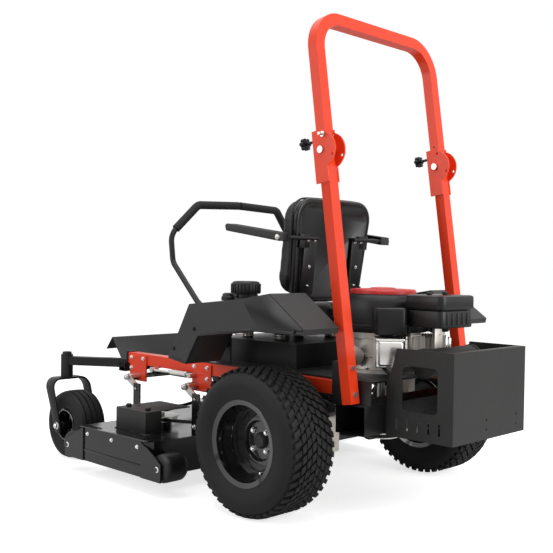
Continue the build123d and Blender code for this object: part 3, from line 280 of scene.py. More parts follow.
def place_piece(name, bm, material, body, replaces=(), sharp=32.0):
    """Turns a bmesh into a named piece that rides on a body."""
    mesh = bpy.data.meshes.new(name)
    bm.to_mesh(mesh)
    bm.free()
    piece = in_scene(name, mesh)
    mesh.materials.append(material)
    mesh.shade_smooth()
    mesh.set_sharp_from_angle(angle=math.radians(sharp))
    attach(piece, body)
    if replaces:
        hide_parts(*replaces)
    return piece


def corners(node):
    """A CAD piece's lowest and highest corners."""
    return (Vector(v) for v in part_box(node))


def turned(bm, profile, centre, along, steps=48, closed=None):
    """Spins a profile of (distance along, radius) about an axis.  One that ends on the axis stays open."""
    if closed is None:
        closed = profile[0][1] > 0 or profile[-1][1] > 0
    axes = {"X": ((1, 0, 0), (0, 0, 1)), "Y": ((0, 1, 0), (0, 0, 1)), "Z": ((0, 0, 1), (1, 0, 0))}
    axis, out = (Vector(v) for v in axes[along])
    centre = Vector(centre)
    ring = [bm.verts.new(centre + axis * a + out * r) for a, r in profile]
    pairs = list(zip(ring, ring[1:]))
    if closed:
        pairs.append((ring[-1], ring[0]))
    edges = [bm.edges.new(pair) for pair in pairs]
    bmesh.ops.spin(
        bm, geom=ring + edges, cent=centre, axis=axis, dvec=(0, 0, 0), angle=2 * math.pi,
        space=Matrix.Identity(4), steps=steps, use_merge=True, use_normal_flip=False, use_duplicate=False,
    )
    bmesh.ops.remove_doubles(bm, verts=bm.verts[:], dist=1e-6)
    bmesh.ops.recalc_face_normals(bm, faces=bm.faces[:])


def mirror_pair(build):
    """Runs a builder for the driver's left (+X) and then for the right (-X)."""
    for side, sign in (("left", 1), ("right", -1)):
        build(side, sign)


def round_edges(bm, edges, width, segments):
    return bmesh.ops.bevel(
        bm, geom=edges, offset=width, offset_type="OFFSET", segments=segments, profile=0.5,
        affect="EDGES", material=-1, clamp_overlap=True,
    )


def oriented_block(bm, size, place, bevel=0.0, segments=1):
    """A block of that size at a 4x4 placement, its edges rounded."""
    scale = Matrix.Diagonal((*size, 1.0))
    made = bmesh.ops.create_cube(bm, size=1.0, matrix=place @ scale)
    if bevel:
        edges = list({e for v in made["verts"] for e in v.link_edges})
        round_edges(bm, edges, bevel, segments)


def hex_nut(bm, centre, along, flats, height):
    """A hexagonal nut with a domed face, its base at the centre and its top along the axis."""
    place = at(centre) @ facing(along)
    radius = flats / math.sqrt(3)
    bmesh.ops.create_cone(
        bm, cap_ends=True, segments=6, radius1=radius, radius2=radius, depth=height,
        matrix=place @ at((0, 0, height / 2)),
    )
    bmesh.ops.create_cone(
        bm, cap_ends=True, segments=16, radius1=radius * 0.85, radius2=radius * 0.55, depth=height * 0.35,
        matrix=place @ at((0, 0, height * 1.17)),
    )


def tyre_centre(node):
    """A tyre's middle, its radius and its width."""
    low, high = corners(node)
    return (low + high) / 2, (high.z - low.z) / 2, high.x - low.x


def crown_radius(x, half, radius):
    """Radius of the tread's face at a distance from the middle of the tyre."""
    edge = max(0.0, abs(x) / half - CROWN_FLAT)
    return radius - CROWN_FALL * edge * edge * CROWN_STEEPNESS


def rear_tyre(side, sign):
    centre, radius, width = tyre_centre("rear_tyre_" + side)
    half = width / 2
    base = radius - TREAD_DEPTH
    bead = half * BEAD_SHARE
    wall = [
        (bead - 0.008, 0.1535), (bead, 0.16), (bead + 0.004, 0.172), (half - 0.009, 0.19),
        (half - 0.001, 0.214), (half - 0.001, 0.232), (half - 0.006, 0.25),
        (half - 0.016, base - 0.0165), (half - 0.034, base - 0.007), (half - 0.062, base - 0.002),
        (half * 0.3, base),
    ]
    profile = wall + [(-x, r) for x, r in reversed(wall)]
    bm = bmesh.new()
    turned(bm, profile, centre, "X", steps=96)
    tread = bmesh.new()
    row_step = (width - 0.052) / TREAD_ROWS
    for row in range(TREAD_ROWS):
        x = (row - (TREAD_ROWS - 1) / 2) * row_step
        outer = row in (0, TREAD_ROWS - 1)
        lean = BLOCK_LEAN if x * sign > 0 else -BLOCK_LEAN
        face = crown_radius(x, half, radius) - (SHOULDER_DROP if outer else 0)
        tilt = (SHOULDER_TILT if outer else 0) * (1 if x > 0 else -1)
        for pitch in range(TREAD_PITCHES):
            angle = 2 * math.pi * (pitch + 0.5 * (row % 2)) / TREAD_PITCHES
            length = 2 * math.pi * radius / TREAD_PITCHES
            size = (
                row_step * (1.02 if outer else 0.83), length * (0.52 if outer else 0.7), TREAD_DEPTH + 0.004
            )
            shear = Matrix.Identity(4)
            shear[1][0] = lean
            place = (
                at(centre)
                @ Matrix.Rotation(angle, 4, "X")
                @ at((x, 0, face - size[2] / 2))
                @ Matrix.Rotation(tilt, 4, "Y")
                @ shear
            )
            oriented_block(tread, size, place, bevel=0.0012)
    place_piece(
        "tyre_carcass_rear_" + side, bm, tyre_rubber, "rear_wheel_" + side, ("rear_tyre_" + side,)
    )
    place_piece("tyre_tread_rear_" + side, tread, tyre_rubber, "rear_wheel_" + side)


def rear_rim(side, sign):
    centre, radius, width = tyre_centre("rear_tyre_" + side)
    bead = width / 2 * BEAD_SHARE
    shape = [
        (bead + 0.004, 0.1675), (bead + 0.001, 0.1705), (bead - 0.003, 0.168), (bead - 0.004, 0.158),
        (bead - 0.01, 0.1515), (0.06, 0.149), (0.045, 0.138), (-0.045, 0.138), (-0.06, 0.149),
        (-bead + 0.01, 0.1515), (-bead + 0.004, 0.158), (-bead + 0.003, 0.168), (-bead - 0.001, 0.1705),
        (-bead - 0.004, 0.1675), (-bead + 0.001, 0.148), (-0.064, 0.145), (-0.048, 0.134), (0.0, 0.134),
        (0.004, 0.12), (0.016, 0.105), (0.014, 0.082), (-0.002, 0.074), (-0.002, 0.03), (0.004, 0.03),
        (0.004, 0.072), (0.02, 0.08), (0.022, 0.107), (0.01, 0.124), (0.01, 0.13), (0.048, 0.134),
        (0.064, 0.145), (bead - 0.001, 0.148),
    ]
    bm = bmesh.new()
    turned(bm, [(sign * a, r) for a, r in shape], centre, "X", steps=72)
    place_piece(
        "rim_rear_" + side, bm, gloss_black, "rear_wheel_" + side, ("rear_rim_" + side,),
        sharp=50
    )
    hub = bmesh.new()
    cap = [(0, 0), (0.018, 0), (0.02, 0.01), (0.018, 0.024), (0.01, 0.031), (0.0, 0.033)]
    turned(hub, [(sign * (a + 0.003), r) for a, r in cap], centre, "X", steps=32, closed=False)
    axle = [(-0.06, 0), (-0.06, 0.028), (-0.012, 0.028), (-0.012, 0.066), (-0.002, 0.066), (-0.002, 0)]
    turned(hub, [(sign * a, r) for a, r in axle], centre, "X", steps=32)
    place_piece("hub_cap_" + side, hub, grey_resin, "rear_wheel_" + side)
    nuts = bmesh.new()
    for step in range(NUT_COUNT):
        angle = math.radians(45 + 360 / NUT_COUNT * step)
        spot = centre + Vector((sign * 0.004, LUG_CIRCLE * math.cos(angle), LUG_CIRCLE * math.sin(angle)))
        hex_nut(nuts, spot, (sign, 0, 0), 0.019, 0.014)
    valve = centre + Vector((sign * (bead - 0.03), 0.096, -0.096))
    turned(nuts, [(0, 0), (0, 0.004), (sign * 0.028, 0.004), (sign * 0.03, 0)], valve, "X", steps=12)
    place_piece("lug_nuts_" + side, nuts, chrome_plate, "rear_wheel_" + side)


gloss_black = finish(
    "gloss_black", (0.006, 0.006, 0.0065), 0.12, grain=120.0, bump=0.04, spread=0.04, Coat_Weight=0.6,
    Coat_Roughness=0.05
)
tyre_rubber = finish("tyre_rubber", (0.01, 0.01, 0.01), 0.58, grain=300.0, bump=0.3, Specular_IOR_Level=0.18)
grey_resin = finish(
    "grey_resin", (0.024, 0.024, 0.024), 0.55, grain=650.0, bump=0.5, shade=0.08, Specular_IOR_Level=0.3
)
cast_alloy = finish("cast_alloy", (0.56, 0.53, 0.49), 0.42, metallic=0.9, grain=260.0, bump=0.5)
chrome_plate = finish(
    "chrome_plate", (0.85, 0.85, 0.84), 0.1, metallic=1.0, grain=600.0, bump=0.02, spread=0.04
)
mirror_pair(rear_tyre)
mirror_pair(rear_rim)
dress(cast_alloy, "transaxles")


# ---- Caster wheels ----
# Smooth ribbed tyres on spoked black wheels, each on a through bolt in a fork that is one
# strap of 10 mm steel bent over the top, hung from a greased pivot tube.
CASTER_SPOKES = 7
CASTER_RIM = 0.0765
STRAP_THICKNESS = 0.01
STRAP_TOP_HALF = 0.034
STRAP_NARROWING = 0.01
STRAP_ROWS = 44
FORK_HALF = 0.11
FORK_CORNER = 0.048
FORK_FOOT = 0.129
AXLE_EYE = 0.024
AXLE_HALF = 0.118


def caster_tyre(side, sign):
    centre, radius, width = tyre_centre("caster_tyre_" + side)
    half = width / 2
    rim = CASTER_RIM
    wall = [
        (half - 0.016, rim + 0.001), (half - 0.01, rim + 0.01), (half - 0.003, rim + 0.026),
        (half - 0.0005, rim + 0.042),
        (half - 0.005, rim + 0.06), (half - 0.016, radius - 0.01), (half - 0.03, radius - 0.0035),
        (half - 0.031, radius - 0.008), (half - 0.036, radius - 0.008), (half - 0.037, radius - 0.002),
        (half - 0.06, radius), (half - 0.061, radius - 0.006), (half - 0.066, radius - 0.006),
        (half - 0.067, radius),
    ]
    bm = bmesh.new()
    turned(bm, wall + [(-x, r) for x, r in reversed(wall)], centre, "X", steps=80)
    place_piece(
        "tyre_caster_" + side, bm, tyre_rubber, "caster_wheel_" + side, ("caster_tyre_" + side,)
    )


def caster_wheel(side, sign):
    centre, radius, width = tyre_centre("caster_tyre_" + side)
    half = width / 2
    rim = CASTER_RIM
    bm = bmesh.new()
    barrel = [
        (half - 0.013, rim), (half - 0.011, rim + 0.002), (half - 0.009, rim - 0.002),
        (half - 0.011, rim - 0.008),
        (-half + 0.011, rim - 0.008), (-half + 0.009, rim - 0.002), (-half + 0.011, rim + 0.002),
        (-half + 0.013, rim),
    ]
    turned(bm, barrel, centre, "X", steps=48)
    sleeve = [
        (-0.098, 0.0105), (-0.098, 0.022), (-0.06, 0.026), (0.06, 0.026), (0.098, 0.022), (0.098, 0.0105)
    ]
    turned(bm, sleeve, centre, "X", steps=32)
    for step in range(CASTER_SPOKES):
        spin = Matrix.Rotation(2 * math.pi * step / CASTER_SPOKES, 4, "X")
        place = at(centre) @ spin @ at((0, 0, 0.047))
        oriented_block(bm, (0.075, 0.008, 0.048), place, bevel=0.002)
    web = [(-0.003, 0.024), (-0.003, 0.07), (0.003, 0.07), (0.003, 0.024)]
    turned(bm, web, centre, "X", steps=48)
    place_piece(
        "wheel_caster_" + side, bm, gloss_black, "caster_wheel_" + side,
        ("caster_hub_" + side,)
    )


def caster_fork(side, sign):
    low, high = corners("caster_fork_" + side)
    wheel, radius, width = tyre_centre("caster_tyre_" + side)
    pivot_y = low.y + 0.032
    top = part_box("front_beam")[0][2] - 0.001
    half = FORK_HALF - STRAP_THICKNESS / 2
    corner = FORK_CORNER
    foot = FORK_FOOT

    def station(along):
        """Where the strap's middle runs, from the top's middle down a leg: across and up."""
        flat = half - corner
        bend = corner * math.pi / 2
        if along < flat:
            return along, top - STRAP_THICKNESS / 2
        if along < flat + bend:
            a = (along - flat) / corner
            return flat + corner * math.sin(a), top - STRAP_THICKNESS / 2 - corner * (1 - math.cos(a))
        return half, top - STRAP_THICKNESS / 2 - corner - (along - flat - bend)

    leg_length = half - corner + corner * math.pi / 2 + (top - STRAP_THICKNESS / 2 - corner - foot)
    bm = bmesh.new()
    last = None
    for row in range(-STRAP_ROWS, STRAP_ROWS + 1):
        along = abs(row) / STRAP_ROWS * leg_length
        x, z = station(along)
        drop = max(0.0, (top - z) / (top - foot))
        y = pivot_y + (wheel.y - pivot_y) * min(1.0, drop * 1.12)
        half_width = STRAP_TOP_HALF - STRAP_NARROWING * drop
        if z < foot + AXLE_EYE:
            half_width = math.sqrt(max(1e-6, AXLE_EYE ** 2 - (foot + AXLE_EYE - z) ** 2)) + 0.0005
        sx = (1 if row >= 0 else -1) * x
        pair = [
            bm.verts.new((wheel.x + sx, y - half_width, z)), bm.verts.new((wheel.x + sx, y + half_width, z))
        ]
        if last:
            bm.faces.new((last[0], last[1], pair[1], pair[0]))
        last = pair
    bmesh.ops.recalc_face_normals(bm, faces=bm.faces[:])
    fork = place_piece(
        "fork_strap_" + side, bm, black_coat, "caster_" + side, ("caster_fork_" + side,),
        sharp=40
    )
    wall = fork.modifiers.new("wall", "SOLIDIFY")
    wall.thickness = STRAP_THICKNESS
    wall.offset = 0.0
    ease(fork, 0.0015, 2)
    hardware = bmesh.new()
    turned(
        hardware, [(-AXLE_HALF, 0), (-AXLE_HALF, 0.0095), (AXLE_HALF, 0.0095), (AXLE_HALF, 0)], wheel, "X",
        steps=20
    )
    for face in (-1, 1):
        spot = wheel + Vector((face * 0.1105, 0, 0))
        turned(hardware, [(0, 0), (0, 0.017), (face * 0.002, 0.017), (face * 0.002, 0)], spot, "X", steps=24)
        hex_nut(hardware, spot + Vector((face * 0.002, 0, 0)), (face, 0, 0), 0.024, 0.01)
    place_piece("caster_bolt_" + side, hardware, chrome_plate, "caster_" + side)
    stem = bmesh.new()
    stem_top = high.z
    body = [
        (top - 0.012, 0), (top - 0.012, 0.026), (top, 0.03), (top + 0.0008, 0.0149),
        (stem_top - 0.0135, 0.0149), (stem_top - 0.0135, 0.023), (stem_top - 0.002, 0.022),
        (stem_top, 0.012), (stem_top, 0),
    ]
    turned(stem, body, (wheel.x, pivot_y, 0), "Z", steps=32)
    place_piece("caster_stem_" + side, stem, black_coat, "caster_" + side)


mirror_pair(caster_tyre)
mirror_pair(caster_wheel)
mirror_pair(caster_fork)


# ---- Cutting deck ----
# A welded steel shell in gloss black with textured covers over the belts.  It hangs from
# plated lift plates, rides on short rollers, and a rubber belt turns its plated spindles.
DECK_SKIRT = 0.736
DECK_TOP = 0.2225
SKIRT_BOLTS = (-0.52, -0.335, -0.15)
CHUTE_FROM_Y = -0.5
ROLLERS = ("roller_front_left", "roller_front_right", "roller_rear_left", "roller_rear_right")
COVER_SHEET = 0.004
COVER_NEAR = 0.392
COVER_FAR = 0.64
COVER_WING = 0.556
DAMPER_X = 0.415
DAMPER_Z = 0.466


def bright_bolt(bm, spot, along, flats=0.017, height=0.008, washer=0.011):
    """A plated bolt head on a washer."""
    way = Vector(along).normalized()
    base = at(spot) @ facing(way)
    bmesh.ops.create_cone(
        bm, cap_ends=True, segments=24, radius1=washer, radius2=washer, depth=0.002,
        matrix=base @ at((0, 0, 0.001)),
    )
    hex_nut(bm, Vector(spot) + way * 0.002, along, flats, height)


def tube_along(bm, points, radius, sides=12):
    """A round bar through the points: each run is a cylinder and each corner a ball."""
    points = [Vector(p) for p in points]
    for start, end in zip(points, points[1:]):
        way = end - start
        place = at((start + end) / 2) @ facing(way)
        bmesh.ops.create_cone(
            bm, cap_ends=True, segments=sides, radius1=radius, radius2=radius, depth=way.length, matrix=place
        )
    for corner in points[1:-1]:
        bmesh.ops.create_uvsphere(bm, u_segments=sides, v_segments=8, radius=radius, matrix=at(corner))


def block_between(bm, corner, opposite, bevel=0.0, segments=2):
    """A block between two opposite corners."""
    corner, opposite = Vector(corner), Vector(opposite)
    size = Vector([abs(length) for length in opposite - corner])
    oriented_block(bm, size, at((corner + opposite) / 2), bevel, segments)


deck_gloss = finish(
    "deck_gloss", (0.008, 0.008, 0.0085), 0.2, grain=220.0, bump=0.1, shade=0.2, spread=0.08,
    Coat_Weight=0.15, Coat_Roughness=0.1, Specular_IOR_Level=0.35
)
dress(deck_gloss, "deck_shell")
dress(black_coat, "discharge_chute")
dress(zinc_plate, "lift_shaft_front", "lift_shaft_rear", "spindle_left", "spindle_centre", "spindle_right")
soft_rubber = finish("soft_rubber", (0.01, 0.01, 0.01), 0.6, grain=300.0, bump=0.3, Specular_IOR_Level=0.25)
dress(soft_rubber, "drive_belt")

skirt_bolts = bmesh.new()
for bolt_y in SKIRT_BOLTS:
    for side in (1, -1):
        if side < 0 and bolt_y > CHUTE_FROM_Y:
            continue
        bright_bolt(skirt_bolts, (side * DECK_SKIRT, bolt_y, 0.196), (side, 0, 0), 0.012, 0.005, 0.009)
for roller in ROLLERS:
    low, high = corners(roller)
    side = 1 if low.x > 0 else -1
    bright_bolt(
        skirt_bolts, (side * 0.7415, (low.y + high.y) / 2, (low.z + high.z) / 2), (side, 0, 0), 0.016, 0.003,
        0.012
    )
place_piece("deck_fasteners", skirt_bolts, chrome_plate, "deck")

deck_ribs = bmesh.new()
for side in (1, -1):
    block_between(deck_ribs, (side * 0.7, -0.575, DECK_TOP), (side * 0.742, -0.095, 0.2265), 0.0012)
block_between(deck_ribs, (0.7365, -0.56, 0.118), (0.7405, -0.11, 0.124), 0.0008)
place_piece("deck_trim", deck_ribs, deck_gloss, "deck")

cover = bmesh.new()
low, high = corners("belt_covers")
rear_y = high.y - COVER_SHEET
under = high.z - 0.001
for side in (1, -1):
    outer = COVER_FAR * side
    block_between(cover, (COVER_NEAR * side, low.y, high.z - COVER_SHEET), (outer, rear_y, high.z), 0.0018)
    block_between(cover, (outer - side * COVER_SHEET, low.y, DECK_TOP), (outer, rear_y, under), 0.0012)
    for y0 in (low.y, rear_y - COVER_SHEET):
        block_between(cover, (COVER_WING * side, y0, DECK_TOP), (outer, y0 + COVER_SHEET, under), 0.0012)
    block_between(cover, (outer - side * 0.03, low.y - 0.012, DECK_TOP), (outer, low.y, 0.226), 0.001)
place_piece("belt_cover_sheets", cover, textured_coat, "deck", ("belt_covers",))
cover_knobs = bmesh.new()
for side in (1, -1):
    for y in (-0.4, -0.26):
        spot = (side * 0.6, y, 0.32)
        turned(
            cover_knobs, [(0, 0), (0, 0.01), (0.004, 0.013), (0.011, 0.013), (0.014, 0.009), (0.014, 0)],
            spot, "Z", steps=20
        )
place_piece("belt_cover_knobs", cover_knobs, black_resin, "deck")


def deck_roller(name):
    low, high = corners(name)
    centre = (low + high) / 2
    half = (high.x - low.x) / 2
    r = (high.z - low.z) / 2
    bm = bmesh.new()
    shape = [
        (-half, 0.0085), (-half, r - 0.018), (-half + 0.004, r - 0.007), (-half + 0.014, r - 0.001),
        (-half + 0.03, r)
    ]
    turned(bm, shape + [(-a, b) for a, b in reversed(shape)], centre, "X", steps=48)
    place_piece(name + "_body", bm, black_resin, name, (name,))


for name in ROLLERS:
    deck_roller(name)

# Height dampers, one each side, and the plates and nuts of the lift linkage.
linkage = bmesh.new()
for side in (1, -1):
    x = side * DAMPER_X
    tube_along(linkage, [(x, -0.47, 0.464), (x, -0.33, DAMPER_Z)], 0.0055)
    turned(
        linkage,
        [(-0.33, 0), (-0.33, 0.012), (-0.327, 0.014), (-0.225, 0.014), (-0.222, 0.011), (-0.215, 0)],
        (x, 0, DAMPER_Z), "Y", steps=24
    )
    tube_along(linkage, [(x, -0.218, DAMPER_Z), (x, -0.196, DAMPER_Z)], 0.006)
    eye = [(-0.026, 0), (-0.026, 0.013), (0.01, 0.013), (0.01, 0)]
    if side < 0:
        eye = [(-a, r) for a, r in reversed(eye)]
    for y in (-0.47, -0.196):
        turned(linkage, eye, (x, y, 0.465), "X", steps=20)
    for y in (-0.62, -0.189):
        bright_bolt(linkage, (side * 0.4555, y, 0.418), (side, 0, 0), 0.02, 0.009, 0.015)
place_piece("lift_dampers", linkage, zinc_plate, "chassis")
hangers = bmesh.new()
for side in (1, -1):
    for y in (-0.5421, -0.1111):
        bright_bolt(hangers, (side * 0.4596, y, 0.25), (side, 0, 0), 0.017, 0.008, 0.012)
place_piece("hanger_bolts", hangers, zinc_plate, "deck")
bracket_bolts = bmesh.new()
for side in (1, -1):
    for y, z in (
        (-0.672, 0.505), (-0.672, 0.455), (-0.58, 0.505), (-0.2, 0.505), (-0.11, 0.505), (-0.11, 0.455)
    ):
        bright_bolt(bracket_bolts, (side * 0.388, y, z), (side, 0, 0), 0.014, 0.006, 0.01)
place_piece("bracket_bolts", bracket_bolts, chrome_plate, "chassis")


# ---- Engine ----
# A vertical-shaft vee twin on the rear plate: cast aluminium crankcase and finned cylinders,
# a black pressed shroud with a red slotted fan screen, and a moulded air cleaner behind.
ENGINE_Y = 0.561
ENGINE_BASE = 0.5345
CYLINDER_Z = 0.629
FIN_COUNT = 8
SCREEN_RIBS = 40
AIR_LID_Z = 0.8
SILENCER_PLACE = (0, 0.89, 0.6)
HEADER_R = 0.014
SHARP_FOLD = 0.8


def rounded_box(bm, low, high, corner, edge=0.003, place=None):
    """An upright box with large vertical corners and eased top and bottom edges."""
    low, high = Vector(low), Vector(high)
    size = high - low
    made = bmesh.ops.create_cube(bm, size=1.0, matrix=at((low + high) / 2) @ Matrix.Diagonal((*size, 1)))
    verts = made["verts"]
    upright = list(
        {e for v in verts for e in v.link_edges if abs(e.verts[0].co.z - e.verts[1].co.z) > size.z / 2}
    )
    made = round_edges(bm, upright, corner, 6)
    verts = list({v for v in verts if v.is_valid} | set(made["verts"]))
    rims = [
        e for e in {e for v in verts for e in v.link_edges} if abs(e.verts[0].co.z - e.verts[1].co.z) < 1e-6
    ]
    rims = [e for e in rims if len(e.link_faces) == 2 and e.calc_face_angle(0.0) > SHARP_FOLD]
    made = round_edges(bm, rims, edge, 2)
    if place is not None:
        verts = list({v for v in verts if v.is_valid} | set(made["verts"]))
        bmesh.ops.transform(bm, matrix=place, verts=verts)


def vee(side):
    """The frame of a cylinder: +Y along its bore, away from the crankcase."""
    return at((0, ENGINE_Y, 0)) @ Matrix.Rotation(math.radians(-45 * side), 4, "Z")


bright_alloy = finish(
    "bright_alloy", (0.72, 0.7, 0.67), 0.24, metallic=1.0, grain=300.0, bump=0.12, shade=0.05
)
red_resin = finish("red_resin", (0.5, 0.02, 0.018), 0.35, grain=500.0, bump=0.1)
filter_coat = finish("filter_coat", (0.66, 0.6, 0.54), 0.3, grain=300.0, bump=0.05)
heat_black = finish(
    "heat_black", (0.012, 0.011, 0.01), 0.6, grain=500.0, bump=0.4, shade=0.3, Specular_IOR_Level=0.3
)
dress(zinc_plate, "engine_pulley")
block_bm = bmesh.new()
case = [
    (ENGINE_BASE, 0), (ENGINE_BASE, 0.1645), (ENGINE_BASE + 0.012, 0.1645), (ENGINE_BASE + 0.014, 0.15),
    (0.598, 0.146), (0.602, 0.158), (0.612, 0.158), (0.616, 0.146), (0.672, 0.142), (0.676, 0.16),
    (0.6995, 0.16), (0.6995, 0),
]
turned(block_bm, case, (0, ENGINE_Y, 0), "Z", steps=64)
for side in (1, -1):
    place = vee(side)
    oriented_block(block_bm, (0.094, 0.15, 0.096), place @ at((0, 0.18, CYLINDER_Z)), 0.006, 2)
    for fin in range(FIN_COUNT):
        spot = at((0, 0.168 + 0.0115 * fin, CYLINDER_Z))
        oriented_block(block_bm, (0.1175, 0.0035, 0.1175), place @ spot, 0.0012, 1)
place_piece("crankcase", block_bm, cast_alloy, "chassis", ("engine_block",))
covers = bmesh.new()
for side in (1, -1):
    place = vee(side)
    oriented_block(covers, (0.116, 0.012, 0.116), place @ at((0, 0.2585, CYLINDER_Z)), 0.004, 2)
    oriented_block(covers, (0.098, 0.022, 0.098), place @ at((0, 0.2735, CYLINDER_Z)), 0.0095, 4)
place_piece("valve_covers", covers, bright_alloy, "chassis", sharp=50)
cover_bolts = bmesh.new()
for side in (1, -1):
    place = vee(side)
    out = (place.to_3x3() @ Vector((0, 1, 0))).normalized()
    for dx in (-0.049, 0.049):
        for dz in (-0.049, 0.049):
            bright_bolt(
                cover_bolts, place @ Vector((dx, 0.2645, CYLINDER_Z + dz)), out, 0.009, 0.005, 0.0062
            )
for step in range(6):
    angle = math.radians(15 + 60 * step)
    spot = Vector((0.156 * math.cos(angle), ENGINE_Y + 0.156 * math.sin(angle), ENGINE_BASE + 0.0125))
    bright_bolt(cover_bolts, spot, (0, 0, 1), 0.013, 0.007, 0.009)
place_piece("engine_bolts", cover_bolts, chrome_plate, "chassis")

shroud = bmesh.new()
skin = [
    (0.7005, 0), (0.7005, 0.186), (0.708, 0.1915), (0.73, 0.1915), (0.734, 0.183), (0.792, 0.176),
    (0.828, 0.168), (0.846, 0.158), (0.8548, 0.146), (0.8548, 0),
]
turned(shroud, skin, (0, ENGINE_Y, 0), "Z", steps=72)
for side in (1, -1):
    rounded_box(shroud, (-0.064, 0.108, 0.701), (0.064, 0.274, 0.806), 0.022, 0.008, place=vee(side))
place_piece("engine_shroud", shroud, black_coat, "chassis", ("blower_housing",), sharp=40)

screen = bmesh.new()
turned(
    screen, [(0.856, 0.116), (0.856, 0.1385), (0.868, 0.1385), (0.874, 0.134), (0.874, 0.116)],
    (0, ENGINE_Y, 0), "Z", steps=64
)
turned(
    screen, [(0.868, 0), (0.868, 0.052), (0.876, 0.056), (0.8805, 0.05), (0.882, 0.03), (0.882, 0)],
    (0, ENGINE_Y, 0), "Z", steps=48
)
for rib in range(SCREEN_RIBS):
    spin = Matrix.Rotation(2 * math.pi * rib / SCREEN_RIBS, 4, "Z")
    place = at((0, ENGINE_Y, 0)) @ spin @ at((0.088, 0, 0.8725)) @ Matrix.Rotation(0.06, 4, "Y")
    oriented_block(screen, (0.078, 0.0052, 0.006), place, 0.001, 1)
for radius in (0.075, 0.096):
    turned(
        screen,
        [(0.869, radius - 0.002), (0.869, radius + 0.002), (0.875, radius + 0.002), (0.875, radius - 0.002)],
        (0, ENGINE_Y, 0), "Z", steps=64
    )
place_piece("fan_screen_red", screen, red_resin, "chassis", ("fan_screen",))
screen_floor = bmesh.new()
turned(
    screen_floor, [(0.8555, 0), (0.8555, 0.114), (0.859, 0.114), (0.859, 0)], (0, ENGINE_Y, 0), "Z", steps=48
)
place_piece("fan_hollow", screen_floor, black_resin, "chassis")

cleaner = bmesh.new()
low, high = corners("air_cleaner")
rounded_box(
    cleaner, (low.x + 0.006, low.y + 0.006, low.z), (high.x - 0.006, high.y - 0.006, AIR_LID_Z), 0.026, 0.004
)
rounded_box(cleaner, (low.x, low.y, AIR_LID_Z + 0.003), (high.x, high.y, 0.8598), 0.03, 0.01)
rounded_box(
    cleaner, (low.x + 0.02, low.y + 0.02, AIR_LID_Z - 0.004),
    (high.x - 0.02, high.y - 0.02, AIR_LID_Z + 0.006), 0.02, 0.001
)
for rib in range(5):
    x = low.x + 0.05 + rib * 0.035
    block_between(cleaner, (x, high.y - 0.0065, 0.745), (x + 0.01, high.y - 0.003, 0.792), 0.0012)
place_piece("air_cleaner_case", cleaner, black_resin, "chassis", ("air_cleaner",), sharp=40)
knobs = bmesh.new()
for x in (-0.055, 0.055):
    spot = (x, ENGINE_Y + 0.192 + 0.08, 0.8595)
    turned(
        knobs, [(0, 0), (0, 0.009), (0.004, 0.0128), (0.01, 0.0128), (0.0123, 0.009), (0.0123, 0)], spot,
        "Z", steps=16
    )
place_piece("air_cleaner_knobs", knobs, grey_resin, "chassis")

filter_bm = bmesh.new()
filter_place = at((0.203, ENGINE_Y, 0.612)) @ Matrix.Rotation(math.radians(70), 4, "Y")
turned(filter_bm, [
    (-0.04, 0), (-0.04, 0.03), (-0.037, 0.0375), (0.024, 0.0375), (0.026, 0.0345), (0.03, 0.0345),
    (0.038, 0.028), (0.04, 0),
], (0, 0, 0), "Z", steps=32)
bmesh.ops.transform(filter_bm, matrix=filter_place, verts=filter_bm.verts[:])
place_piece("oil_filter_can", filter_bm, filter_coat, "chassis", ("oil_filter",))

silencer = bmesh.new()
shell = [
    (-0.17, 0), (-0.17, 0.05), (-0.166, 0.0575), (-0.158, 0.0575), (-0.156, 0.054), (0.156, 0.054),
    (0.158, 0.0575), (0.166, 0.0575), (0.17, 0.05), (0.17, 0),
]
turned(silencer, shell, SILENCER_PLACE, "X", steps=48)
turned(
    silencer, [(0.935, 0), (0.935, 0.0155), (1.018, 0.0155), (1.018, 0.0135), (0.99, 0.0135), (0.99, 0)],
    (0.11, 0, 0.6), "Y", steps=24
)
place_piece("silencer", silencer, heat_black, "chassis", ("muffler",))

# Small parts that hang on the engine: regulator, fuel filter, pipes, leads and brackets.
small_alloy = bmesh.new()
block_between(small_alloy, (0.04, 0.77, 0.64), (0.11, 0.79, 0.7), 0.003)
for fin in range(8):
    block_between(
        small_alloy, (0.043 + fin * 0.0086, 0.79, 0.644), (0.0465 + fin * 0.0086, 0.806, 0.696), 0.0006, 1
    )
block_between(small_alloy, (-0.15, 0.76, 0.56), (-0.075, 0.775, 0.72), 0.003)
turned(
    small_alloy, [(0.7125, 0), (0.7125, 0.026), (0.745, 0.026), (0.749, 0.02), (0.749, 0)],
    (0.168, 0.47, -0.006), "Z", steps=24
)
place_piece("engine_fittings", small_alloy, cast_alloy, "chassis")
hoses = bmesh.new()
tube_along(
    hoses, [(0.15, 0.64, 0.6), (0.19, 0.7, 0.585), (0.205, 0.745, 0.56), (0.205, 0.775, 0.545)], 0.007
)
tube_along(hoses, [(0.06, 0.745, 0.725), (0.09, 0.765, 0.7), (0.15, 0.74, 0.69), (0.185, 0.69, 0.7)], 0.006)
tube_along(hoses, [(-0.06, 0.745, 0.715), (-0.11, 0.77, 0.69), (-0.18, 0.73, 0.69)], 0.006)
tube_along(hoses, [(0.1, 0.79, 0.555), (0.15, 0.8, 0.6), (0.158, 0.79, 0.66), (0.13, 0.775, 0.7)], 0.0045)
turned(
    hoses, [(0, 0), (0, 0.01), (0.02, 0.012), (0.034, 0.02), (0.04, 0.022), (0.048, 0.016), (0.048, 0)],
    (0.12, 0.4, 0.826), "Z", steps=24
)
place_piece("engine_hoses", hoses, soft_rubber, "chassis")
header = bmesh.new()
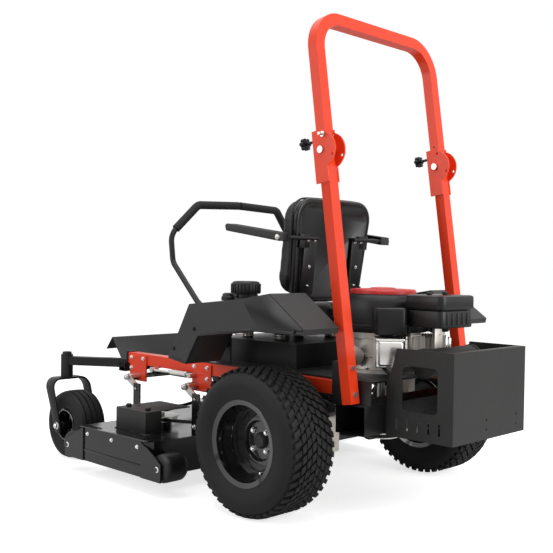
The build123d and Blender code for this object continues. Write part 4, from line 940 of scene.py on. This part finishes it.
for side in (1, -1):
    tube_along(
        header,
        [
            (side * 0.165, 0.735, 0.59), (side * 0.175, 0.8, 0.575), (side * 0.13, 0.845, 0.585),
            (side * 0.11, 0.87, 0.595)
        ],
        HEADER_R, 16
    )
place_piece("exhaust_pipes", header, black_coat, "chassis")


# ---- Fenders and fuel filler ----
# Moulded plastic fenders with a grained skin and eased ridges; the left one is the fuel
# tank, with a ribbed screw cap on a clamped neck and a rubber fuel line.
FENDER_OUTER = 0.62
CAP_RIBS = 28
grained = finish(
    "grained_plastic", (0.02, 0.02, 0.02), 0.5, grain=900.0, bump=0.9, shade=0.06, spread=0.06,
    Specular_IOR_Level=0.35
)
satin = finish(
    "satin_plastic", (0.005, 0.005, 0.005), 0.26, grain=500.0, bump=0.15, shade=0.1, spread=0.05,
    Specular_IOR_Level=0.35
)
dress(black_resin, "throttle_lever", "ignition_key", "pto_knob")
dress(soft_rubber, "fuel_line")
softened("fender_left", grained, "chassis", 0.005, 3)
softened("fender_right", grained, "chassis", 0.005, 3)


def fender_panels(side, sign):
    """The satin rear section, its crease, the seam along the outer face and the lower lip."""
    outer = FENDER_OUTER * sign
    bm = bmesh.new()
    rear_face = [(0.356, 0.8325), (0.505, 0.858), (0.68, 0.7365), (0.675, 0.722), (0.445, 0.722)]
    corners = [bm.verts.new((outer - sign * 0.0005, y, z)) for y, z in rear_face]
    bm.faces.new(corners)
    made = bmesh.ops.extrude_face_region(bm, geom=bm.faces[:])
    bmesh.ops.translate(
        bm, vec=(sign * 0.0022, 0, 0), verts=[v for v in made["geom"] if isinstance(v, bmesh.types.BMVert)]
    )
    bmesh.ops.recalc_face_normals(bm, faces=bm.faces[:])
    round_edges(bm, bm.edges[:], 0.0009, 2)
    lip = [(-0.094, 0.572), (0.018, 0.556), (0.096, 0.677), (0.419, 0.7185), (0.678, 0.7185)]
    for (y0, z0), (y1, z1) in zip(lip, lip[1:]):
        way = Vector((0, y1 - y0, z1 - z0))
        middle = Vector((outer - sign * 0.002, (y0 + y1) / 2, (z0 + z1) / 2 + 0.003))
        place = at(middle) @ facing(way, "Y", "Z")
        oriented_block(bm, (0.008, way.length + 0.004, 0.009), place, 0.0025, 2)
    place_piece("fender_rear_panel_" + side, bm, satin, "chassis")
    screws = bmesh.new()
    for y, z in ((-0.06, 0.61), (0.07, 0.7), (0.64, 0.728)):
        bright_bolt(screws, (outer, y, z), (sign, 0, 0), 0.009, 0.004, 0.009)
    place_piece("fender_screws_" + side, screws, black_coat, "chassis")


mirror_pair(fender_panels)

cap = bmesh.new()
cap_x, cap_y = 0.5, 0.249
low, high = corners("fuel_cap")
cap_shape = [
    (low.z + 0.001, 0.047), (low.z + 0.001, 0.0565), (low.z + 0.004, 0.058), (high.z - 0.01, 0.0575),
    (high.z - 0.003, 0.053), (high.z - 0.0005, 0.044), (high.z - 0.004, 0.04), (high.z - 0.004, 0),
    (0.8735, 0), (0.8735, 0.047),
]
turned(cap, cap_shape, (cap_x, cap_y, 0), "Z", steps=64, closed=False)
for rib in range(CAP_RIBS):
    spin = Matrix.Rotation(2 * math.pi * rib / CAP_RIBS, 4, "Z")
    place = at((cap_x, cap_y, (low.z + high.z) / 2 - 0.003)) @ spin @ at((0.0585, 0, 0))
    oriented_block(cap, (0.006, 0.0058, 0.038), place, 0.0015, 2)
oriented_block(
    cap, (0.086, 0.016, 0.01), at((cap_x, cap_y, high.z - 0.006)) @ Matrix.Rotation(0.6, 4, "Z"), 0.003, 2
)
place_piece("fuel_cap_ribbed", cap, black_resin, "fuel_cap", ("fuel_cap",), sharp=45)
clamp = bmesh.new()
turned(
    clamp, [(0.838, 0.0452), (0.838, 0.05), (0.848, 0.05), (0.848, 0.0452)], (cap_x, cap_y, 0), "Z", steps=48
)
block_between(clamp, (cap_x + 0.046, cap_y - 0.008, 0.8365), (cap_x + 0.06, cap_y + 0.008, 0.8485), 0.002)
place_piece("neck_clamp", clamp, satin, "chassis")
vent = bmesh.new()
turned(
    vent,
    [(0.818, 0), (0.818, 0.034), (0.832, 0.034), (0.838, 0.03), (0.846, 0.028), (0.85, 0.02), (0.85, 0)],
    (0.49, 0.14, 0), "Z", steps=40
)
place_piece("gauge_cap", vent, black_resin, "chassis")


# ---- Seat ----
# Foam pads in black vinyl over a plywood base, in a moulded back shell that black plate
# brackets bolt to the uprights; piping follows the edge where the pad meets the shell.
SEAT_VOXEL = 0.0065
BACK_SLOPE = 0.112
BACK_FOOT = (0, 0.25, 0.805)
CUSHION_SIZE = (0.462, 0.4, 0.078)
CUSHION_MIDDLE = (0, -0.0225, 0.7495)
BACK_PAD_SIZE = (0.488, 0.066, 0.424)
BACK_PAD_MIDDLE = (0, -0.064, 0.236)
SHELL_SIZE = (0.508, 0.026, 0.452)
SHELL_TAPER = 0.86
FOAM_SWELL = 0.01
FOAM_PRESSURE = 4.0
SWELL_FRAMES = 20
COIL_TURNS = 4


def stuffed(piece):
    """Swells a pad under air pressure as foam does in its cover, and limits how far it may move."""
    scene = bpy.context.scene
    remesh = piece.modifiers.new("remesh", "REMESH")
    remesh.mode = "VOXEL"
    remesh.voxel_size = SEAT_VOXEL
    view = bpy.context.evaluated_depsgraph_get()
    start = bpy.data.meshes.new_from_object(piece.evaluated_get(view))
    piece.modifiers.clear()
    materials = list(piece.data.materials)
    piece.data = start
    start.materials.clear()
    for material in materials:
        start.materials.append(material)
    rest = [v.co.copy() for v in start.vertices]
    cloth = piece.modifiers.new("cloth", "CLOTH")
    cloth.settings.use_pressure = True
    cloth.settings.uniform_pressure_force = FOAM_PRESSURE
    cloth.settings.effector_weights.gravity = 0.0
    cloth.settings.quality = 5
    cloth.point_cache.frame_start = 1
    cloth.point_cache.frame_end = SWELL_FRAMES
    for step in range(1, SWELL_FRAMES + 1):
        scene.frame_set(step)
    view = bpy.context.evaluated_depsgraph_get()
    swollen = bpy.data.meshes.new_from_object(piece.evaluated_get(view))
    piece.modifiers.clear()
    for vertex, place in zip(swollen.vertices, rest):
        move = vertex.co - place
        if move.length > FOAM_SWELL:
            vertex.co = place + move.normalized() * FOAM_SWELL
    piece.data = swollen
    scene.frame_set(1)
    swollen.shade_smooth()
    smooth = piece.modifiers.new("round", "SUBSURF")
    smooth.levels = smooth.render_levels = 1


def sewn(piece, groove_depth):
    """Presses the sewn channels into a pad: the function gives the push at a point."""
    for vertex in piece.data.vertices:
        push = groove_depth(vertex.co)
        if push is not None:
            vertex.co += push


def groove(distance, width, depth):
    return depth * math.exp(-(distance / width) ** 2)


def pad_block(name, size, place, corner, node):
    """A seat pad with round corners, before it is stuffed."""
    bm = bmesh.new()
    bmesh.ops.create_cube(bm, size=1.0, matrix=Matrix.Diagonal((*size, 1)))
    thin = min(range(3), key=lambda a: size[a])
    along = [e for e in bm.edges if abs((e.verts[0].co - e.verts[1].co)[thin]) > size[thin] / 2]
    round_edges(bm, along, corner, 6)
    rims = [e for e in bm.edges if len(e.link_faces) == 2 and e.calc_face_angle(0.0) > SHARP_FOLD]
    round_edges(bm, rims, min(size) * 0.28, 3)
    bmesh.ops.transform(bm, matrix=place, verts=bm.verts[:])
    return place_piece(name, bm, vinyl, "seat", (node,), sharp=180)


vinyl = finish(
    "seat_vinyl", (0.01, 0.01, 0.01), 0.38, grain=700.0, bump=0.55, shade=0.1, spread=0.06,
    Specular_IOR_Level=0.3
)
cushion = pad_block("seat_cushion_pad", CUSHION_SIZE, at(CUSHION_MIDDLE), 0.06, "seat_cushion")
stuffed(cushion)


def cushion_channels(co):
    if co.z < 0.755:
        return None
    depth = 0.0
    for x in (-0.135, 0.135):
        depth += groove(co.x - x, 0.006, 0.007)
    if abs(co.x) < 0.135:
        for y in (-0.15, -0.05, 0.05, 0.13):
            depth += groove(co.y - y, 0.005, 0.005)
    return Vector((0, 0, -depth))


sewn(cushion, cushion_channels)

back_frame = at(BACK_FOOT) @ Matrix.Rotation(-math.atan(BACK_SLOPE), 4, "X")
back_pad = pad_block("seat_back_pad", BACK_PAD_SIZE, back_frame @ at(BACK_PAD_MIDDLE), 0.085, "seat_back")
stuffed(back_pad)


def back_channels(co):
    local = back_frame.inverted() @ co
    if local.y > -0.065:
        return None
    depth = 0.0
    for z in (0.1, 0.17, 0.24, 0.31):
        if abs(local.x) < 0.16:
            depth += groove(local.z - z, 0.006, 0.006)
    for x in (-0.165, 0.165):
        depth += groove(local.x - x, 0.006, 0.007)
    return back_frame.to_3x3() @ Vector((0, depth, 0))


sewn(back_pad, back_channels)

shell = bmesh.new()
bmesh.ops.create_cube(shell, size=1.0, matrix=Matrix.Diagonal((*SHELL_SIZE, 1)))
for vertex in shell.verts:
    if vertex.co.z < 0:
        vertex.co.x *= SHELL_TAPER
upright = [e for e in shell.edges if abs(e.verts[0].co.y - e.verts[1].co.y) > 0.01 and e.verts[0].co.z > 0]
round_edges(shell, upright, 0.095, 10)
lower = [e for e in shell.edges if abs(e.verts[0].co.y - e.verts[1].co.y) > 0.01 and e.verts[0].co.z < -0.2]
round_edges(shell, lower, 0.04, 6)
rear_faces = [f for f in shell.faces if f.normal.y > 0.9]
bmesh.ops.inset_region(shell, faces=rear_faces, thickness=0.03, depth=0.0, use_even_offset=True)
rims = [e for e in shell.edges if len(e.link_faces) == 2 and e.calc_face_angle(0.0) > SHARP_FOLD]
round_edges(shell, rims, 0.01, 3)
panel = [f for f in shell.faces if f.normal.y > 0.95 and f.calc_area() > 0.03]
bmesh.ops.inset_region(shell, faces=panel, thickness=0.006, depth=-0.005, use_even_offset=True)
bmesh.ops.transform(shell, matrix=back_frame @ at((0, -0.0155, 0.2275)), verts=shell.verts[:])
bmesh.ops.recalc_face_normals(shell, faces=shell.faces[:])
place_piece("seat_back_shell", shell, satin, "seat", sharp=40)


def soft_rod(name, points, radius, resolution):
    """A smooth round rod through the points, as a curve."""
    curve = bpy.data.curves.new(name, "CURVE")
    curve.dimensions = "3D"
    curve.bevel_depth = radius
    curve.bevel_resolution = resolution
    line = curve.splines.new("NURBS")
    line.points.add(len(points) - 1)
    for point, place in zip(line.points, points):
        point.co = (*place, 1.0)
    line.order_u = 3
    line.use_endpoint_u = True
    return in_scene(name, curve)


half_edge = [(0.214, 0.016), (0.236, 0.2), (0.252, 0.36), (0.25, 0.415), (0.215, 0.448), (0.15, 0.453)]
edge_points = [(-x, z) for x, z in half_edge] + [(0, 0.453)] + half_edge[::-1]
piping = soft_rod(
    "seat_piping", [back_frame @ Vector((x * 0.985, -0.03, z)) for x, z in edge_points], 0.0045, 3
)
piping.data.materials.append(vinyl)
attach(piping, "seat")

softened("seat_frame", black_coat, "seat", 0.0015, 2)
brackets = bmesh.new()
for side in (1, -1):
    place = back_frame @ at((side * 0.157, 0.0085, 0.165))
    oriented_block(brackets, (0.078, 0.005, 0.25), place, 0.0015, 2)
    foot = back_frame @ at((side * 0.195, 0.0085, 0.27))
    oriented_block(brackets, (0.06, 0.005, 0.06), foot, 0.0015, 2)
place_piece("back_brackets", brackets, black_coat, "seat")
back_bolts = bmesh.new()
rear_way = back_frame.to_3x3() @ Vector((0, 1, 0))
for side in (1, -1):
    for x, z in ((0.135, 0.275), (0.178, 0.275), (0.157, 0.075), (0.157, 0.16)):
        bright_bolt(back_bolts, back_frame @ Vector((side * x, 0.011, z)), rear_way, 0.01, 0.004, 0.008)
place_piece("back_bolts", back_bolts, chrome_plate, "seat")
springs = bmesh.new()
for side in (1, -1):
    for y in (-0.08, 0.12):
        for turn_index in range(COIL_TURNS):
            z = 0.6405 + turn_index * 0.0075
            turned(
                springs, [(z, 0.025), (z + 0.0012, 0.0262), (z + 0.0032, 0.0262), (z + 0.0044, 0.025)],
                (side * 0.17, y, 0), "Z", steps=24
            )
place_piece("seat_spring_coils", springs, zinc_plate, "seat")


# ---- Armrests ----
# Integral-skin foam on a steel strap: thick and rounded at the pivot, thinning to the tip.
# Each one turns on a plated bolt through the seat's side.
ARM_PIVOT_Y = 0.2944
ARM_PIVOT_Z = 1.085


def armrest(side, sign):
    low, high = corners("armrest_" + side)
    bm = bmesh.new()
    bm.from_mesh(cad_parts["armrest_" + side].data)
    bmesh.ops.remove_doubles(bm, verts=bm.verts[:], dist=WELD_GAP)
    bmesh.ops.convex_hull(bm, input=bm.verts[:])
    loose = [v for v in bm.verts if not v.link_faces]
    bmesh.ops.delete(bm, geom=loose, context="VERTS")
    bmesh.ops.dissolve_limit(bm, angle_limit=math.radians(1.0), verts=bm.verts[:], edges=bm.edges[:])
    bmesh.ops.recalc_face_normals(bm, faces=bm.faces[:])
    arm = place_piece(
        "armrest_pad_" + side, bm, grey_resin, "armrest_" + side, ("armrest_" + side,),
        sharp=180
    )
    ease(arm, 0.009, 4, 20)
    pivot = bmesh.new()
    centre = Vector((high.x if sign > 0 else low.x, ARM_PIVOT_Y, ARM_PIVOT_Z))
    bright_bolt(pivot, centre - Vector((sign * 0.0004, 0, 0)), (sign, 0, 0), 0.013, 0.005, 0.011)
    place_piece("armrest_bolt_" + side, pivot, zinc_plate, "armrest_" + side)


mirror_pair(armrest)


# ---- Steering levers ----
# Bent steel tube lap bars in black, with thick foam pushed on over the hand parts.  They
# swing out on clevises that are bolted to the frame.
LAP_BAR_CORNER = 0.035
GRIP_START = (0.4, -0.366, 1.102)
GRIP_BEND = (0.262, -0.338, 1.243)
GRIP_END = (0.0052, -0.338, 1.253)
GRIP_R = 0.0195


def lap_grip(side, sign):
    start, corner, end = Vector(GRIP_START), Vector(GRIP_BEND), Vector(GRIP_END)
    first = (corner - start).normalized()
    second = (end - corner).normalized()
    path = [
        start + first * 0.035, start + first * 0.09, corner - first * LAP_BAR_CORNER, corner,
        corner + second * LAP_BAR_CORNER, end - second * 0.1, end,
    ]
    made = soft_rod("grip_" + side, [(sign * p.x, p.y, p.z) for p in path], GRIP_R, 6)
    made.data.use_fill_caps = True
    view = bpy.context.evaluated_depsgraph_get()
    mesh = bpy.data.meshes.new_from_object(made.evaluated_get(view))
    bpy.data.objects.remove(made)
    bm = bmesh.new()
    bm.from_mesh(mesh)
    bmesh.ops.remove_doubles(bm, verts=bm.verts[:], dist=1e-6)
    bmesh.ops.recalc_face_normals(bm, faces=bm.faces[:])
    foam = place_piece(
        "foam_grip_" + side, bm, foam_rubber, "lap_bar_" + side, ("grip_" + side,), sharp=60
    )
    ease(foam, 0.004, 3, 50)


foam_rubber = finish(
    "foam_rubber", (0.014, 0.014, 0.014), 0.7, grain=1200.0, bump=0.7, shade=0.1, Specular_IOR_Level=0.25
)
mirror_pair(lap_grip)
dress(black_coat, "lap_bar_left", "lap_bar_right")
softened("lever_base_left", black_coat, "lever_base_left", 0.0015, 2)
softened("lever_base_right", black_coat, "lever_base_right", 0.0015, 2)
